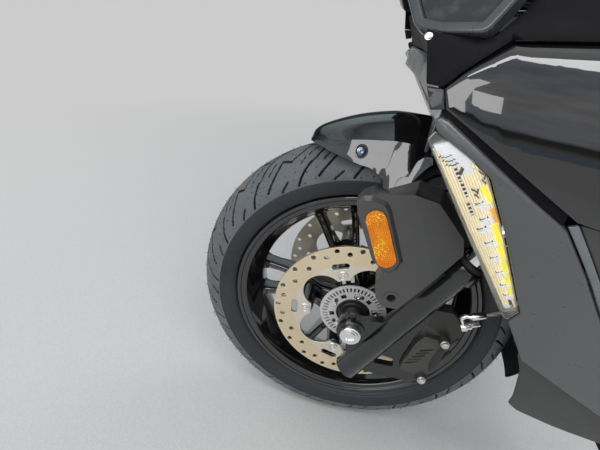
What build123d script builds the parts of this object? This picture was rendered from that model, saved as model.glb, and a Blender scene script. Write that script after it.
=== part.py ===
from build123d import *
import math
import os

# Front end of a motor scooter: wheel, fork, brakes, mudguard and the front apron on its frame head.
# Millimetres. Drawn about the wheel's centre: +X to the rear, +Y to the rider's right, +Z up.
# The saved parts are moved so that the origin is the centre of the frame's mounting plate.

# Steering and fork
rake = 26.4                 # steering axis from the vertical, degrees
axle_lead = 46.0            # axle ahead of the steering axis
leg_spacing = 210.0         # between the fork legs' axes
stanchion_r = 17.5
stanchion_wall = 2.5
slider_wall = 3.0
slider_foot = -72.0         # heights along the steering axis, from the axle's level
slider_top = 186.0
collar_wall = 7.5
collar_height = 16.0
collar_lap = 4.0            # collar over the slider's top
slider_bore_floor = 60.0
seal_height = 8.0
yoke_bottom = 400.0
yoke_height = 30.0
yoke_depth = 50.0
yoke_wall = 11.5
stem_r = 14.0
stem_collar_r = 24.0        # bearing race under the head tube, and the nut above it
stem_nut_height = 16.0
stem_seat_r = 12.0          # free end that the handlebar clamps
stem_seat_length = 60.0
head_bottom = 440.0
head_length = 180.0
head_r = 30.0
head_inner_r = 22.0
bearing_height = 25.0
running_gap = 0.05
seat_gap = 0.3

# Wheel and tyre
flange_r = 204.0            # rim flange
flange_y = 53.0             # half the rim's width
flange_height = 13.7        # above the bead seat
flange_lip = 8.5            # flange's width beyond the bead
bead_seat_width = 12.0
rim_wall = 5.0
well_depth = 22.3
well_half_width = 16.0
tyre_height = 70.5          # above the flange
tyre_half_width = 60.0
tyre_wall = 9.0
crown_drop = 24.5           # shoulder below the crown
shoulder_step = 5.0         # shoulder inside the widest part
tyre_lap = 3.0              # sidewall's foot above the flange
spoke_pairs = 5
spoke_start_angle = -4.5    # first pair, degrees up from straight ahead
spoke_width = 15.0
spoke_spread = 35.0         # each arm from its pair's middle line, at the rim
spoke_depth = 28.0          # across the wheel, at the rim
spoke_chamfer = 4.0
hub_r = 40.0
hub_half_width = 66.0

# Brakes
disc_r = 132.0
disc_band = 35.0            # swept band, from the rim to the cut-outs
disc_tab_depth = 27.0       # mounting tabs, inside the band
disc_y = 71.0               # inner face from the wheel's middle plane
disc_thickness = 4.5
disc_bolt_r = 79.4
disc_bolt_hole_r = 4.2
disc_boss_r = 13.0
disc_holes = 40
disc_hole_r = 3.9
disc_hole_edge = 7.0        # outermost holes from the disc's edge
disc_slot_length = 28.0
disc_slot_width = 10.0
disc_cut_r = 33.0           # round cut-outs between the tabs
tone_ring_r = 55.0
tone_ring_inner_r = 28.0
tone_ring_thickness = 2.5
tone_slots = 48
tone_slot_length = 8.0
tone_slot_edge = 5.0        # slots' outer ends from the ring's edge
tone_slot_width = 2.8
tone_windows = 10
tone_window_length = 9.0
tone_window_width = 8.0
pad_gap = 1.5
caliper_inner_y = 56.0
caliper_bridge_y = 100.0
caliper_outer_y = 112.0
caliper_over_disc = 5.0
lug_inner_y = 92.0
lug_thickness = 12.0
pivot_bolt_r = 6.0
banjo_r = 7.5
banjo_height = 8.0
banjo_bolt_r = 6.0
banjo_bolt_head = 7.0
bleed_cap_r = 4.0
bleed_cap_length = 12.0
pipe_r = 3.5
hose_r = 3.5
hose_sleeve_wall = 2.0
hose_sleeve_length = 20.0

# Axle
axle_r = 10.0
axle_end_y = 116.0
axle_head_r = 16.0
axle_head_height = 8.0
axle_boss_r = 22.0
axle_boss_inner_y = 92.0
spacer_wall = 4.5
spacer_collar_wall = 13.0
spacer_collar_height = 8.0

# Fork covers and mudguard
cover_inner_y = 112.0
cover_outer_y = 146.0
cover_wall = 3.0
cover_corner_r = 5.0
cover_fold_angle = 5.0      # the rear part of the cover's face, turned in
cover_hole_r = 6.5
cover_rim_wall = 4.0        # raised ring round the hole
cover_rim_height = 1.2
pod_height = 4.5            # raised field that carries the reflector
pod_slope = 5.5             # width of its sloping edge
pod_corner_r = 6.0
reflector_r = 13.0
reflector_thickness = 5.0
reflector_pocket = 3.0
mudguard_wall = 3.0
mudguard_edge_y = 88.0
bracket_thickness = 3.0
post_r = 6.0

# Apron
panel_wall = 3.0
panel_seam = 0.6
skin_front_x = -60.0
skin_mid_x = 160.0
skin_rear_x = 440.0
apron_rear_x = 400.0
liner_wall = 3.0
liner_gap = 22.0            # liner clear of the turning fork legs
liner_half_angle = 62.0
lamp_depth = 24.0
lens_wall = 5.0
lamp_back_inset = 9.0
belly_inset = 20.0
plate_x = 430.0
plate_z = 60.0
plate_thickness = 8.0
plate_width = 220.0
plate_height = 120.0
plate_hole_r = 5.5
plate_hole_y = 160.0
plate_hole_z = 80.0
main_tube_r = 19.0
main_tube_spacing = 140.0
main_tube_x = 372.0
liner_tab_z = 184.0
liner_tab_width = 40.0
liner_tab_thickness = 4.0
stay_r = 8.0

slider_r = stanchion_r + slider_wall
collar_r = stanchion_r + collar_wall
yoke_end_r = stanchion_r + yoke_wall
head_top = head_bottom + head_length
slider_end = slider_top + collar_height
stanchion_top = yoke_bottom + yoke_height + 6.0
stem_shoulder = head_top + stem_nut_height + 4.0
stem_top = stem_shoulder + stem_seat_length
bead_r = flange_r - flange_height
bead_y = flange_y - flange_lip
rim_well_r = bead_r - well_depth
tyre_r = flange_r + tyre_height
tyre_shoulder_r = tyre_r - crown_drop
tyre_shoulder_y = tyre_half_width - shoulder_step
tyre_widest_r = 0.3 * flange_r + 0.7 * tyre_shoulder_r
disc_inner_r = disc_r - disc_band
disc_tab_r = disc_inner_r - disc_tab_depth
caliper_bridge_r = disc_r + caliper_over_disc
sin_rake = math.sin(math.radians(rake))
cos_rake = math.cos(math.radians(rake))
axis_x = axle_lead * cos_rake
axis_z = -axle_lead * sin_rake
leg_y = leg_spacing / 2
# Fork plane: x to the rear at right angles to the steering axis, z up along that axis.
fork_plane = Plane(origin=(axis_x, 0, axis_z), x_dir=(cos_rake, 0, -sin_rake), z_dir=(sin_rake, 0, cos_rake))
fork = fork_plane.location

parts = {}


def add(node, shape):
    parts[node] = shape


def add_pair(node, left_shape):
    """The left piece and its mirror image, as two nodes."""
    add(node + "_left", left_shape)
    add(node + "_right", mirror(left_shape, about=Plane.XZ))


def add_both(node, left_shape):
    """The left piece and its mirror image, as two solids of one node."""
    add(node, Compound(children=[left_shape, mirror(left_shape, about=Plane.XZ)]))


def side_plane(y_inner, x=0.0, z=0.0):
    """Plane of the side view, seen from the left, at a distance from the middle."""
    return Plane(origin=(x, -y_inner, z), x_dir=(1, 0, 0), z_dir=(0, -1, 0))


def side_plate(outline, y_inner, y_outer, radius=0.0, grow=0.0):
    """A plate parallel to the side view, on the left, from an outline of (x, z) points."""
    face = make_face(Polyline(*outline, close=True))
    if radius:
        face = fillet(face.vertices(), radius)
    if grow:
        face = offset(face, grow)
    return side_plane(y_inner).location * extrude(face, y_outer - y_inner)


def tube_between(radius, *points):
    """A round bar along straight runs, with rounded corners."""
    path = Polyline(*points)
    section = Plane(origin=path @ 0, z_dir=path % 0) * Circle(radius)
    return sweep(section, path=path, transition=Transition.ROUND)


def along_y(radius, x, z, y_from, y_to):
    """A round bar across the scooter."""
    plane = Plane(origin=(x, y_from, z), x_dir=(1, 0, 0), z_dir=(0, 1, 0))
    return plane.location * extrude(Circle(radius), y_to - y_from)


def along_axis(radius, y, s_from, s_to, p=0.0):
    """A round bar along the steering axis, in the fork's own plane."""
    return Pos(p, y, s_from) * extrude(Circle(radius), s_to - s_from)


# Wheel
def make_tyre():
    shoulder_in = tyre_shoulder_r - tyre_wall
    shoulder_in_y = tyre_shoulder_y - tyre_wall
    foot = (flange_y, flange_r + tyre_lap)
    over_rim = (bead_y - seat_gap, flange_r + 1.0)
    heel = (bead_y - seat_gap, bead_r + seat_gap)
    toe = (bead_y - tyre_wall, bead_r + seat_gap)
    widest_in = (tyre_half_width - tyre_wall, tyre_widest_r)

    def mirrored(point):
        return (-point[0], point[1])

    with BuildSketch(Plane.YZ) as section:
        with BuildLine():
            shoulder = (tyre_shoulder_y, tyre_shoulder_r)
            ThreePointArc(mirrored(shoulder), (0, tyre_r), shoulder)
            ThreePointArc(shoulder, (tyre_half_width, tyre_widest_r), foot)
            inside = (shoulder_in_y, shoulder_in)
            Polyline(foot, over_rim, heel, toe, widest_in, inside)
            ThreePointArc(inside, (0, tyre_r - tyre_wall), mirrored(inside))
            Polyline(*[mirrored(point) for point in (inside, widest_in, toe, heel, over_rim, foot)])
            ThreePointArc(mirrored(foot), (-tyre_half_width, tyre_widest_r), mirrored(shoulder))
        make_face()
    return revolve(section.sketch, Axis.Y)


def spoke_arm(side):
    """One arm of a pair, drawn along +X, leaning to the given side."""
    rim_end = rim_well_r - 1.0
    # columns: radius, distance from the pair's middle line, width, depth across the wheel
    stations = [
        (hub_r - 6.0, 4.0, spoke_width + 5.0, hub_half_width - 14.0),
        (disc_bolt_r, 9.0, spoke_width + 4.0, hub_half_width - 22.0),
        (disc_inner_r + 8.0, 0.44 * spoke_spread, spoke_width, spoke_depth + 6.0),
        (rim_end, spoke_spread, spoke_width, spoke_depth),
    ]
    sections = []
    for radius, lean, width, depth in stations:
        across, along, corner = depth / 2, width / 2, spoke_chamfer
        quarter = [(across, along - corner), (across - corner, along)]
        outline = quarter + [(-a, b) for a, b in reversed(quarter)]
        outline += [(-a, -b) for a, b in quarter] + [(a, -b) for a, b in reversed(quarter)]
        plane = Plane(origin=(radius, 0, side * lean), x_dir=(0, 1, 0), z_dir=(1, 0, 0))
        sections.append(plane.location * make_face(Polyline(*outline, close=True)))
    return loft(sections, ruled=True)


def spoke_angle(index):
    return 180.0 + spoke_start_angle + index * 360.0 / spoke_pairs


def turned(shape, angle):
    """Turn about the wheel's axis, counted from +X towards +Z."""
    return Rot(0, -angle, 0) * shape


def make_rim():
    half = [
        (flange_y, flange_r), (bead_y + 1.5, flange_r + 0.5), (bead_y, flange_r - 4.0), (bead_y, bead_r),
        (bead_y - bead_seat_width, bead_r), (well_half_width, rim_well_r + rim_wall),
    ]
    under = [
        (well_half_width + 2.0, rim_well_r), (bead_y - 8.0, bead_r - rim_wall - 3.0),
        (bead_y + 3.0, bead_r - rim_wall), (flange_y, flange_r - 7.0),
    ]
    outline = half + [(-y, r) for y, r in reversed(half)]
    outline += [(-y, r) for y, r in reversed(under)] + under
    with BuildSketch(Plane.YZ) as section:
        with BuildLine():
            Polyline(*outline, close=True)
        make_face()
    rim = revolve(section.sketch, Axis.Y)
    hub = along_y(hub_r, 0, 0, -hub_half_width, hub_half_width)
    arms = [spoke_arm(1), spoke_arm(-1), along_y(disc_boss_r, disc_bolt_r, 0, -disc_y, disc_y)]
    pair = arms[0].fuse(*arms[1:])
    rim = rim.fuse(hub, *[turned(pair, spoke_angle(i)) for i in range(spoke_pairs)])
    return rim - along_y(axle_r + running_gap, 0, 0, -hub_half_width, hub_half_width)


def make_disc():
    """Brake disc on the left, drawn flat and then stood up. Its u axis is +X and its v axis +Z."""
    cut_angle = 180.0 / spoke_pairs
    # rings of holes, in the order in which they follow each other round the band
    middle, inmost = disc_hole_edge * 2, disc_hole_edge * 2.95
    depths = (disc_hole_edge, middle, disc_hole_edge, inmost, disc_hole_edge, inmost, disc_hole_edge, middle)
    with BuildSketch() as flat:
        Circle(disc_r)
        Circle(disc_tab_r, mode=Mode.SUBTRACT)
        for index in range(spoke_pairs):
            with Locations(Rot(0, 0, cut_angle - spoke_angle(index))):
                with Locations((disc_inner_r - disc_cut_r, 0)):
                    Circle(disc_cut_r, mode=Mode.SUBTRACT)
            with Locations(Rot(0, 0, -spoke_angle(index))):
                with Locations((disc_bolt_r, 0)):
                    Circle(disc_bolt_hole_r, mode=Mode.SUBTRACT)
                with Locations((disc_inner_r, 0)):
                    SlotOverall(disc_slot_length, disc_slot_width, rotation=90, mode=Mode.SUBTRACT)
        for index in range(disc_holes):
            with Locations(Rot(0, 0, -spoke_angle(0) + index * 360.0 / disc_holes)):
                with Locations((disc_r - depths[index % len(depths)], 0)):
                    Circle(disc_hole_r, mode=Mode.SUBTRACT)
    return side_plane(disc_y).location * extrude(flat.sketch, disc_thickness)


def make_tone_ring():
    slot_outer = tone_ring_r - tone_slot_edge
    slot_inner = slot_outer - tone_slot_length
    with BuildSketch() as flat:
        Circle(tone_ring_r)
        Circle(tone_ring_inner_r, mode=Mode.SUBTRACT)
        with PolarLocations((slot_inner + slot_outer) / 2, tone_slots):
            Rectangle(tone_slot_length, tone_slot_width, mode=Mode.SUBTRACT)
        with PolarLocations((tone_ring_inner_r + slot_inner) / 2, tone_windows, 180.0 / tone_windows):
            Rectangle(tone_window_width, tone_window_length, mode=Mode.SUBTRACT)
    return side_plane(hub_half_width).location * extrude(flat.sketch, tone_ring_thickness)


add("tyre", make_tyre())
add("rim", make_rim())
add_pair("disc", make_disc())
add("tone_ring", make_tone_ring())


# Fork
def make_axle():
    shaft = along_y(axle_r, 0, 0, -axle_end_y - seat_gap, axle_end_y + seat_gap)
    head = along_y(axle_head_r, 0, 0, -axle_end_y - axle_head_height, -axle_end_y - seat_gap)
    nut = along_y(axle_head_r - 1.0, 0, 0, axle_end_y + seat_gap, axle_end_y + axle_head_height)
    return shaft.fuse(head, nut)


def make_spacers():
    """Spacer between the hub and the left fork leg, with a wide collar against the hub."""
    collar_end = -hub_half_width - spacer_collar_height
    ring = along_y(axle_r + spacer_wall, 0, 0, -axle_boss_inner_y + seat_gap, -hub_half_width - seat_gap)
    ring = ring.fuse(along_y(axle_r + spacer_collar_wall, 0, 0, collar_end, -hub_half_width - seat_gap))
    return ring - along_y(axle_r + seat_gap / 2, 0, 0, -axle_boss_inner_y, -hub_half_width)


def fork_point(s, p=0.0):
    """Side-view (x, z) of a point s along the steering axis and p behind it."""
    return (axis_x + s * sin_rake + p * cos_rake, axis_z + s * cos_rake - p * sin_rake)


# Lugs on the slider that carry the caliper, and the caliper's own outlines, all in the side view
upper_lug = [(58, 26), (74, 44), (94, 56), (108, 40), (97, 10), (72, -6)]
lower_lug = [(18, -62), (30, -84), (62, -87), (108, -84), (118, -72), (98, -38), (92, -34), (97, 10),
             (86, 12), (66, -18), (50, -34), (30, -40)]
lug_window = [(47, -63), (60, -42), (78, -44), (83, -61)]
bridge_outline = [(99, 14), (112, 34), (140, 40), (152, 2), (150, -38), (138, -66), (118, -77), (96, -38)]
face_outline = [(92, -37), (91, -54), (120, -72), (137, -58), (130, -24), (136, 4), (137, 22), (110, 24),
                (101, 6)]
cylinder_outline = [(92, 56), (103, 60), (115, 71), (139, 72), (151, 60), (165, 36), (150, 15), (137, 18),
                    (106, 18)]
lower_bolt = (128, -60)
upper_bolt = (140, 23)
junction_drop = 16.0        # hose junction's height, under the yoke
junction_p = 30.0
junction_width = 74.0
junction_depth = 22.0
junction_s = yoke_bottom - junction_drop - 2 * seat_gap


# Hose fitting on the sloping end of the caliper's cylinder
banjo_y = 100.0
banjo_face = [cylinder_outline[4], cylinder_outline[5]]
pipe_bend = [(153.5, 64.3), (158.5, 70.5)]


# Brake hose, held along the fork from the caliper's pipe to the junction under the yoke
def hose_end(s):
    x, z = fork_point(s, junction_p)
    return (x, -30, z)


hose_route = [(184, -banjo_y, 80), (208, -98, 91), (228, -96, 130), (236, -90, 182), (234, -66, 232),
              hose_end(junction_s - 42.0), hose_end(junction_s)]


def lug_plate(outline, grow=0.0):
    return side_plate(outline, lug_inner_y - grow, lug_inner_y + lug_thickness + grow, grow=grow)


def make_slider():
    """Left slider: a tube with the axle's boss ahead of it and the caliper's lugs behind."""
    tube = along_axis(slider_r, -leg_y, slider_foot, slider_top)
    collar = along_axis(collar_r, -leg_y, slider_top - collar_lap, slider_end)
    # in the fork's own plane: the web that joins the boss to the tube
    web_outline = [(-axle_lead - 18.0, -14.0), (-axle_lead + 8.0, -24.0), (0.0, slider_foot + 4.0),
                   (14.0, slider_foot + 10.0), (14.0, 56.0), (-4.0, 62.0), (-axle_lead - 6.0, 21.0)]
    web = side_plate(web_outline, axle_boss_inner_y + 6.0, axle_end_y - 4.0)
    boss = along_y(axle_boss_r, -axle_lead, 0, -axle_end_y, -axle_boss_inner_y)
    body = fork * tube.fuse(collar, web, boss)
    lower = lug_plate(lower_lug) - side_plate(lug_window, lug_inner_y, lug_inner_y + lug_thickness, 4.0)
    body = body.fuse(lug_plate(upper_lug), lower)
    body -= along_y(axle_r + running_gap, 0, 0, -axle_end_y, -axle_boss_inner_y)
    return body - fork * along_axis(stanchion_r + running_gap, -leg_y, slider_bore_floor, slider_end)


def make_stanchion():
    low = slider_bore_floor + 2.0
    tube = along_axis(stanchion_r, -leg_y, low, stanchion_top)
    return fork * (tube - along_axis(stanchion_r - stanchion_wall, -leg_y, low, stanchion_top))


def make_dust_seal():
    low = slider_end + seat_gap
    ring = along_axis(collar_r - 3.0, -leg_y, low, low + seal_height)
    return fork * (ring - along_axis(stanchion_r + running_gap, -leg_y, low, low + seal_height))


def make_yoke():
    bar = Pos(0, 0, yoke_bottom) * extrude(Rectangle(yoke_depth, leg_spacing), yoke_height)
    ends = [along_axis(yoke_end_r, side * leg_y, yoke_bottom, yoke_bottom + yoke_height) for side in (-1, 1)]
    bar = bar.fuse(*ends)
    for side in (-1, 1):
        bar -= along_axis(stanchion_r + running_gap, side * leg_y, yoke_bottom, yoke_bottom + yoke_height)
    return fork * (bar - along_axis(stem_r + running_gap, 0, yoke_bottom, yoke_bottom + yoke_height))


def make_stem():
    stem = along_axis(stem_r, 0, yoke_bottom, stem_shoulder)
    seat = along_axis(stem_seat_r, 0, stem_shoulder, stem_top)
    race = along_axis(stem_collar_r, 0, yoke_bottom + yoke_height + seat_gap, head_bottom - seat_gap)
    nut = along_axis(stem_collar_r, 0, head_top + seat_gap, head_top + stem_nut_height)
    return fork * stem.fuse(seat, race, nut)


add("axle", make_axle())
add_both("axle_spacers", make_spacers())
add_pair("slider", make_slider())
add_both("stanchions", make_stanchion())
add_both("dust_seals", make_dust_seal())
add("lower_yoke", make_yoke())
add("steering_stem", make_stem())


def make_caliper():
    body = side_plate(bridge_outline, caliper_inner_y, caliper_bridge_y, 6.0)
    body = body.fuse(side_plate(face_outline, caliper_bridge_y - 2.0, caliper_outer_y, 3.0))
    # fins across the outer face
    for x, z in zip((104, 108, 112, 116, 120), (-34, -26, -18, -10, -2)):
        fin = Pos(x, -caliper_outer_y, z) * Rot(0, -rake, 0) * Box(20.0, 3.0, 3.0)
        body -= fin
    body = body.fuse(side_plate(cylinder_outline, disc_y + 12.0, caliper_bridge_y + 4.0, 5.0))
    body -= along_y(disc_bolt_r + disc_boss_r + caliper_over_disc, 0, 0, -disc_y, -caliper_inner_y)
    body -= along_y(caliper_bridge_r, 0, 0, -disc_y - disc_thickness - pad_gap, -disc_y + pad_gap)
    body -= lug_plate(upper_lug, seat_gap).fuse(lug_plate(lower_lug, seat_gap))
    for x, z in (lower_bolt, upper_bolt):
        body = body.fuse(along_y(pivot_bolt_r, x, z, -caliper_outer_y - 5.0, -caliper_inner_y))
    return body - fork * along_axis(slider_r + seat_gap, -leg_y, slider_foot, slider_top)


def make_hose_fitting():
    """Eye on the caliper's end face, its bolt with a capped bleed nipple, and the bent pipe to the hose."""
    (high_x, high_z), (low_x, low_z) = banjo_face
    edge = math.dist(*banjo_face)
    out = Vector((high_z - low_z) / edge, 0, (low_x - high_x) / edge)
    seat = Vector((high_x + low_x) / 2, -banjo_y, (high_z + low_z) / 2) + out * seat_gap

    def stage(radius, start, length):
        return Plane(origin=seat + out * start, z_dir=out).location * extrude(Circle(radius), length)

    bolt_end = banjo_height + banjo_bolt_head
    stack = [stage(banjo_bolt_r, banjo_height - 1.0, banjo_bolt_head + 1.0),
             stage(bleed_cap_r, bolt_end - 1.0, bleed_cap_length + 1.0)]
    run = (Vector(*hose_route[1]) - Vector(*hose_route[0])).normalized()
    back = Vector(*hose_route[0]) - run * hose_sleeve_length
    middle = seat + out * (banjo_height / 2)
    bends = [(x, -banjo_y, z) for x, z in pipe_bend]
    pipe = tube_between(pipe_r, tuple(middle), *bends, tuple(back), tuple(back + run))
    sleeve = tube_between(hose_r + hose_sleeve_wall, tuple(back), hose_route[0])
    return stage(banjo_r, 0.0, banjo_height).fuse(*stack, pipe, sleeve)


# Fork cover's outlines: its face, and the open back that the sloping top runs out to, corner by corner
cover_face = [(-40, 238), (-34, 248), (-22, 251.5), (0, 256.5), (26, 262), (57, 256), (100, 214), (107, 194),
              (50, 89), (28, 88), (16, 102), (11, 122), (17, 144), (-3, 161), (-34, 220)]
cover_back = [(-39, 229), (-33, 241), (-20, 250), (-6, 247), (33, 269), (65, 261), (104, 220), (109, 195),
              (51, 88), (28, 86), (16, 101), (11, 121), (16, 142), (-3, 159), (-34, 212)]
cover_fold = [(26, 262), (66, 187)]
pod_outline = [(-39, 238), (-33, 248), (-23, 251), (-2, 246.5), (6, 236), (38, 168), (33, 152), (24, 144),
               (14, 146), (-3, 162), (-33, 220)]
cover_hole = (37.0, 106.0)
reflector_top = (-11.0, 221.0)
reflector_bottom = (14.0, 169.0)


def inset_face(outline, inset, radius):
    """A closed outline pulled in all round, its corners rounded."""
    face = make_face(Polyline(*outline, close=True))
    if inset:
        face = offset(face, -inset, kind=Kind.INTERSECTION)
    return fillet(face.vertices(), radius)


def cover_body(inset):
    """The cover as a solid: sloping sides from the back to the face, the face's rear part turned in."""
    face_y = cover_outer_y - inset
    ends = [side_plane(cover_inner_y).location * inset_face(cover_back, inset, cover_corner_r),
            side_plane(face_y).location * inset_face(cover_face, inset, cover_corner_r)]
    body = loft(ends, ruled=True)
    (top_x, top_z), (low_x, low_z) = cover_fold
    length = math.dist(*cover_fold)
    rise, lean = math.cos(math.radians(cover_fold_angle)), math.sin(math.radians(cover_fold_angle))
    out = (lean * (top_z - low_z) / length, -rise, lean * (low_x - top_x) / length)
    fold = Plane(origin=(top_x, -face_y, top_z), x_dir=(low_x - top_x, 0, low_z - top_z), z_dir=out)
    size = 3 * length
    return body - fold.location * (Pos(0, 0, size / 2) * Box(2 * size, 2 * size, size))


def make_cover():
    """Fork cover: a tray moulded open towards the leg, with a raised field for the reflector."""
    base_y = cover_outer_y - 1.0
    pod_y = cover_outer_y + pod_height
    pod = loft([side_plane(base_y).location * inset_face(pod_outline, 0.0, pod_corner_r),
                side_plane(pod_y).location * inset_face(pod_outline, pod_slope, pod_corner_r)], ruled=True)
    ring = along_y(cover_hole_r + cover_rim_wall, *cover_hole, -cover_outer_y - cover_rim_height, -base_y)
    shell = cover_body(0.0).fuse(pod, ring) - cover_body(cover_wall)
    shell -= reflector_bar(reflector_r + seat_gap, pod_y - reflector_pocket, reflector_pocket)
    return shell - along_y(cover_hole_r, *cover_hole, -cover_outer_y - cover_rim_height, -cover_inner_y)


def reflector_bar(radius, y_inner, thickness):
    """A round-ended bar that leans like the reflector."""
    (top_x, top_z), (low_x, low_z) = reflector_top, reflector_bottom
    lean = math.degrees(math.atan2(top_z - low_z, top_x - low_x))
    slot = SlotCenterToCenter(math.dist(reflector_top, reflector_bottom), 2 * radius, rotation=lean)
    plane = side_plane(y_inner, (top_x + low_x) / 2, (top_z + low_z) / 2)
    return plane.location * extrude(slot, thickness)


def make_reflector():
    pocket_floor = cover_outer_y + pod_height - reflector_pocket
    return reflector_bar(reflector_r, pocket_floor + seat_gap, reflector_thickness)


def make_mudguard():
    # columns: angle up from straight ahead, ridge's height above the tyre, then the half-width and height
    # of the crease, then those of the edge
    stations = [
        (64.0, 17.5, 20.0, 16.0, 27.0, 14.0),
        (68.0, 23.5, 36.0, 17.0, 52.0, 12.5),
        (72.0, 26.5, 46.0, 17.0, 71.0, 10.5),
        (76.0, 30.5, 55.0, 18.0, 81.0, 4.5),
        (80.0, 34.5, 62.0, 20.0, 85.0, -3.5),
        (84.0, 38.0, 69.0, 22.0, mudguard_edge_y - 1.0, -13.5),
        (89.0, 43.5, 74.0, 26.0, mudguard_edge_y, -38.0),
        (95.0, 47.5, 75.0, 28.5, mudguard_edge_y, -24.5),
        (100.0, 50.5, 73.0, 30.0, 84.0, 12.5),
        (125.0, 36.5, 65.0, 20.0, 72.0, 9.5),
        (150.0, 26.5, 62.0, 12.5, 66.0, 4.5),
    ]
    sections = []
    for angle, ridge, crease_y, crease, edge_y, edge in stations:
        wall = mudguard_wall
        outer = [(edge_y, edge), (crease_y, crease), (0, ridge), (-crease_y, crease), (-edge_y, edge)]
        inner = [(wall - edge_y, edge), (wall - crease_y, crease - wall), (0, ridge - wall),
                 (crease_y - wall, crease - wall), (edge_y - wall, edge)]
        turn = math.radians(angle)
        out = (-math.cos(turn), 0, math.sin(turn))
        origin = (tyre_r * out[0], 0, tyre_r * out[2])
        plane = Plane(origin=origin, x_dir=(0, 1, 0), z_dir=(math.sin(turn), 0, math.cos(turn)))
        sections.append(plane.location * make_face(Polyline(*outer, *inner, close=True)))
    return loft(sections, ruled=True)


bracket_outline = [(2, 240), (22, 251), (44, 254), (60, 245), (100, 192), (120, 152), (92, 92), (58, 136),
                   (20, 214)]
cover_posts = [(36.0, 238.0), (82.0, 190.0), (62.0, 146.0)]


def make_mudguard_bracket():
    """Plate from the slider to the mudguard's skirt, with posts that hold the fork cover."""
    inner_y = mudguard_edge_y + seat_gap
    plate = side_plate(bracket_outline, inner_y, inner_y + bracket_thickness, 4.0)
    for x, z in cover_posts:
        plate = plate.fuse(along_y(post_r, x, z, -(cover_outer_y - cover_wall - seat_gap), -inner_y))
    plate -= cover_body(0.0) - cover_body(cover_wall + seat_gap)
    plate -= fork * along_axis(slider_r + seat_gap, -leg_y, slider_foot, slider_top)
    return plate - fork * along_axis(collar_r + seat_gap, -leg_y, slider_top - collar_lap, slider_end)


add_pair("caliper", make_caliper())
add_both("hose_fittings", make_hose_fitting())
add_both("mudguard_brackets", make_mudguard_bracket())
add_pair("fork_cover", make_cover())
add_both("reflectors", make_reflector())
add("mudguard", make_mudguard())

# Apron. Its side skin, left half: at each height, the half-widths at the front, middle and rear stations.
skin_rows = [
    (-80, 150, 195, 205), (0, 180, 225, 230), (100, 215, 250, 250), (200, 240, 267, 262),
    (350, 268, 305, 285), (440, 248, 283, 255), (520, 190, 218, 195), (600, 90, 130, 115),
]


def skin_slab(inset, wall):
    """A slab of the left side skin, of the given wall, its outer face inset from the master surface."""
    sections = []
    for z, front, mid, rear in skin_rows:
        outer = [(skin_front_x, inset - front), (skin_mid_x, inset - mid), (skin_rear_x, inset - rear)]
        inner = [(x, y + wall) for x, y in outer]
        with BuildSketch(Plane.XY.offset(z)) as section:
            with BuildLine():
                ThreePointArc(*outer)
                Line(outer[2], inner[2])
                ThreePointArc(*reversed(inner))
                Line(inner[0], outer[0])
            make_face()
        sections.append(section.sketch)
    return loft(sections, ruled=False)


def skin_core(inset):
    """The space between the two side skins."""
    sections = []
    for z, front, mid, rear in skin_rows:
        side = [(skin_front_x, inset - front), (skin_mid_x, inset - mid), (skin_rear_x, inset - rear)]
        other = [(x, -y) for x, y in reversed(side)]
        with BuildSketch(Plane.XY.offset(z)) as section:
            with BuildLine():
                ThreePointArc(*side)
                Line(side[2], other[0])
                ThreePointArc(*other)
                Line(other[2], side[0])
            make_face()
        sections.append(section.sketch)
    return loft(sections, ruled=False)


skin_widest = max(mid for z, front, mid, rear in skin_rows)


def through_skin(outline, inset):
    """A prism across the left skin, its outline pulled in all round."""
    return side_plate(outline, skin_widest / 3, skin_widest * 1.2, grow=-inset)


def panel(outline, inset=0.0, wall=panel_wall):
    """A panel of the side skin. Half a seam all round leaves a whole one between neighbours."""
    return skin_slab(inset, wall) & through_skin(outline, panel_seam / 2)


# Seams of the side view, as (x, z), each shared by the panels on its two sides
lamp_seam = [(4, 376), (35, 361.5), (53.5, 350.5), (87.5, 296.5), (137, 213.5), (132, 197.5)]
belly_seam = [(168, 146), (277, 91), (apron_rear_x, 61)]
trim_seam = [(apron_rear_x, 76), (250, 181), (196, 240), (162, 281), (121, 327)]
strip_seam = [(128, 331), (167, 286), (200, 246), (254, 187), (apron_rear_x, 83)]
rear_seam = [(apron_rear_x, 268), (330, 285), (143, 331)]
cap_seam = [(0, 408), (5, 394)]
shoulder_seam = [(12, 422), (27, 436), (40, 448), (99, 457), (apron_rear_x, 505)]

lamp_outline = [(-1, 367), *lamp_seam, (125, 201)]
side_outline = [(-1, 386), *lamp_seam, *belly_seam, *trim_seam, (95, 341), (10, 390)]
strip_outline = trim_seam + strip_seam
rear_outline = strip_seam + rear_seam
channel_outline = [(4, 394), (30, 386), (119, 339), (119, 322), (95, 335), (8, 384)]
upper_outline = [*cap_seam, (30, 382), (124, 333), *reversed(rear_seam), *reversed(shoulder_seam)]
belly_outline = [(187, 109), (200, 60), (202, 42), (216, 32), (265, 19), (317, 9), (apron_rear_x, -8),
                 *reversed(belly_seam)]
cap_outline = [(-13, 407), *cap_seam, (-6, 391)]
shoulder_outline = [(-13, 408), cap_seam[0], *shoulder_seam, (apron_rear_x, 545), (250, 585), (60, 585),
                    (-20, 560), (-46, 505), (-22, 446)]

# Headlamps, on a plane that faces forward, outward and up at each corner of the nose
lamp_centre = (0.0, -222.0, 478.0)
lamp_along = (0.853, -0.506, 0.125)
lamp_up = (0.105, 0.404, 0.909)
headlamp_outline = [(-22, -41), (0, -44), (36, -42), (50, -16), (60, 20), (42, 70), (-50, 72), (-62, 20)]
bezel_width = 9.0
bezel_depth = 16.0
lens_depth = 9.0
lamp_facing = Vector(*lamp_along).cross(Vector(*lamp_up))
headlamp_plane = Plane(origin=lamp_centre, x_dir=lamp_along, z_dir=lamp_facing)
headlamp_corner_r = 12.0
headlamp_face = fillet(make_face(Polyline(*headlamp_outline, close=True)).vertices(), headlamp_corner_r)


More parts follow.
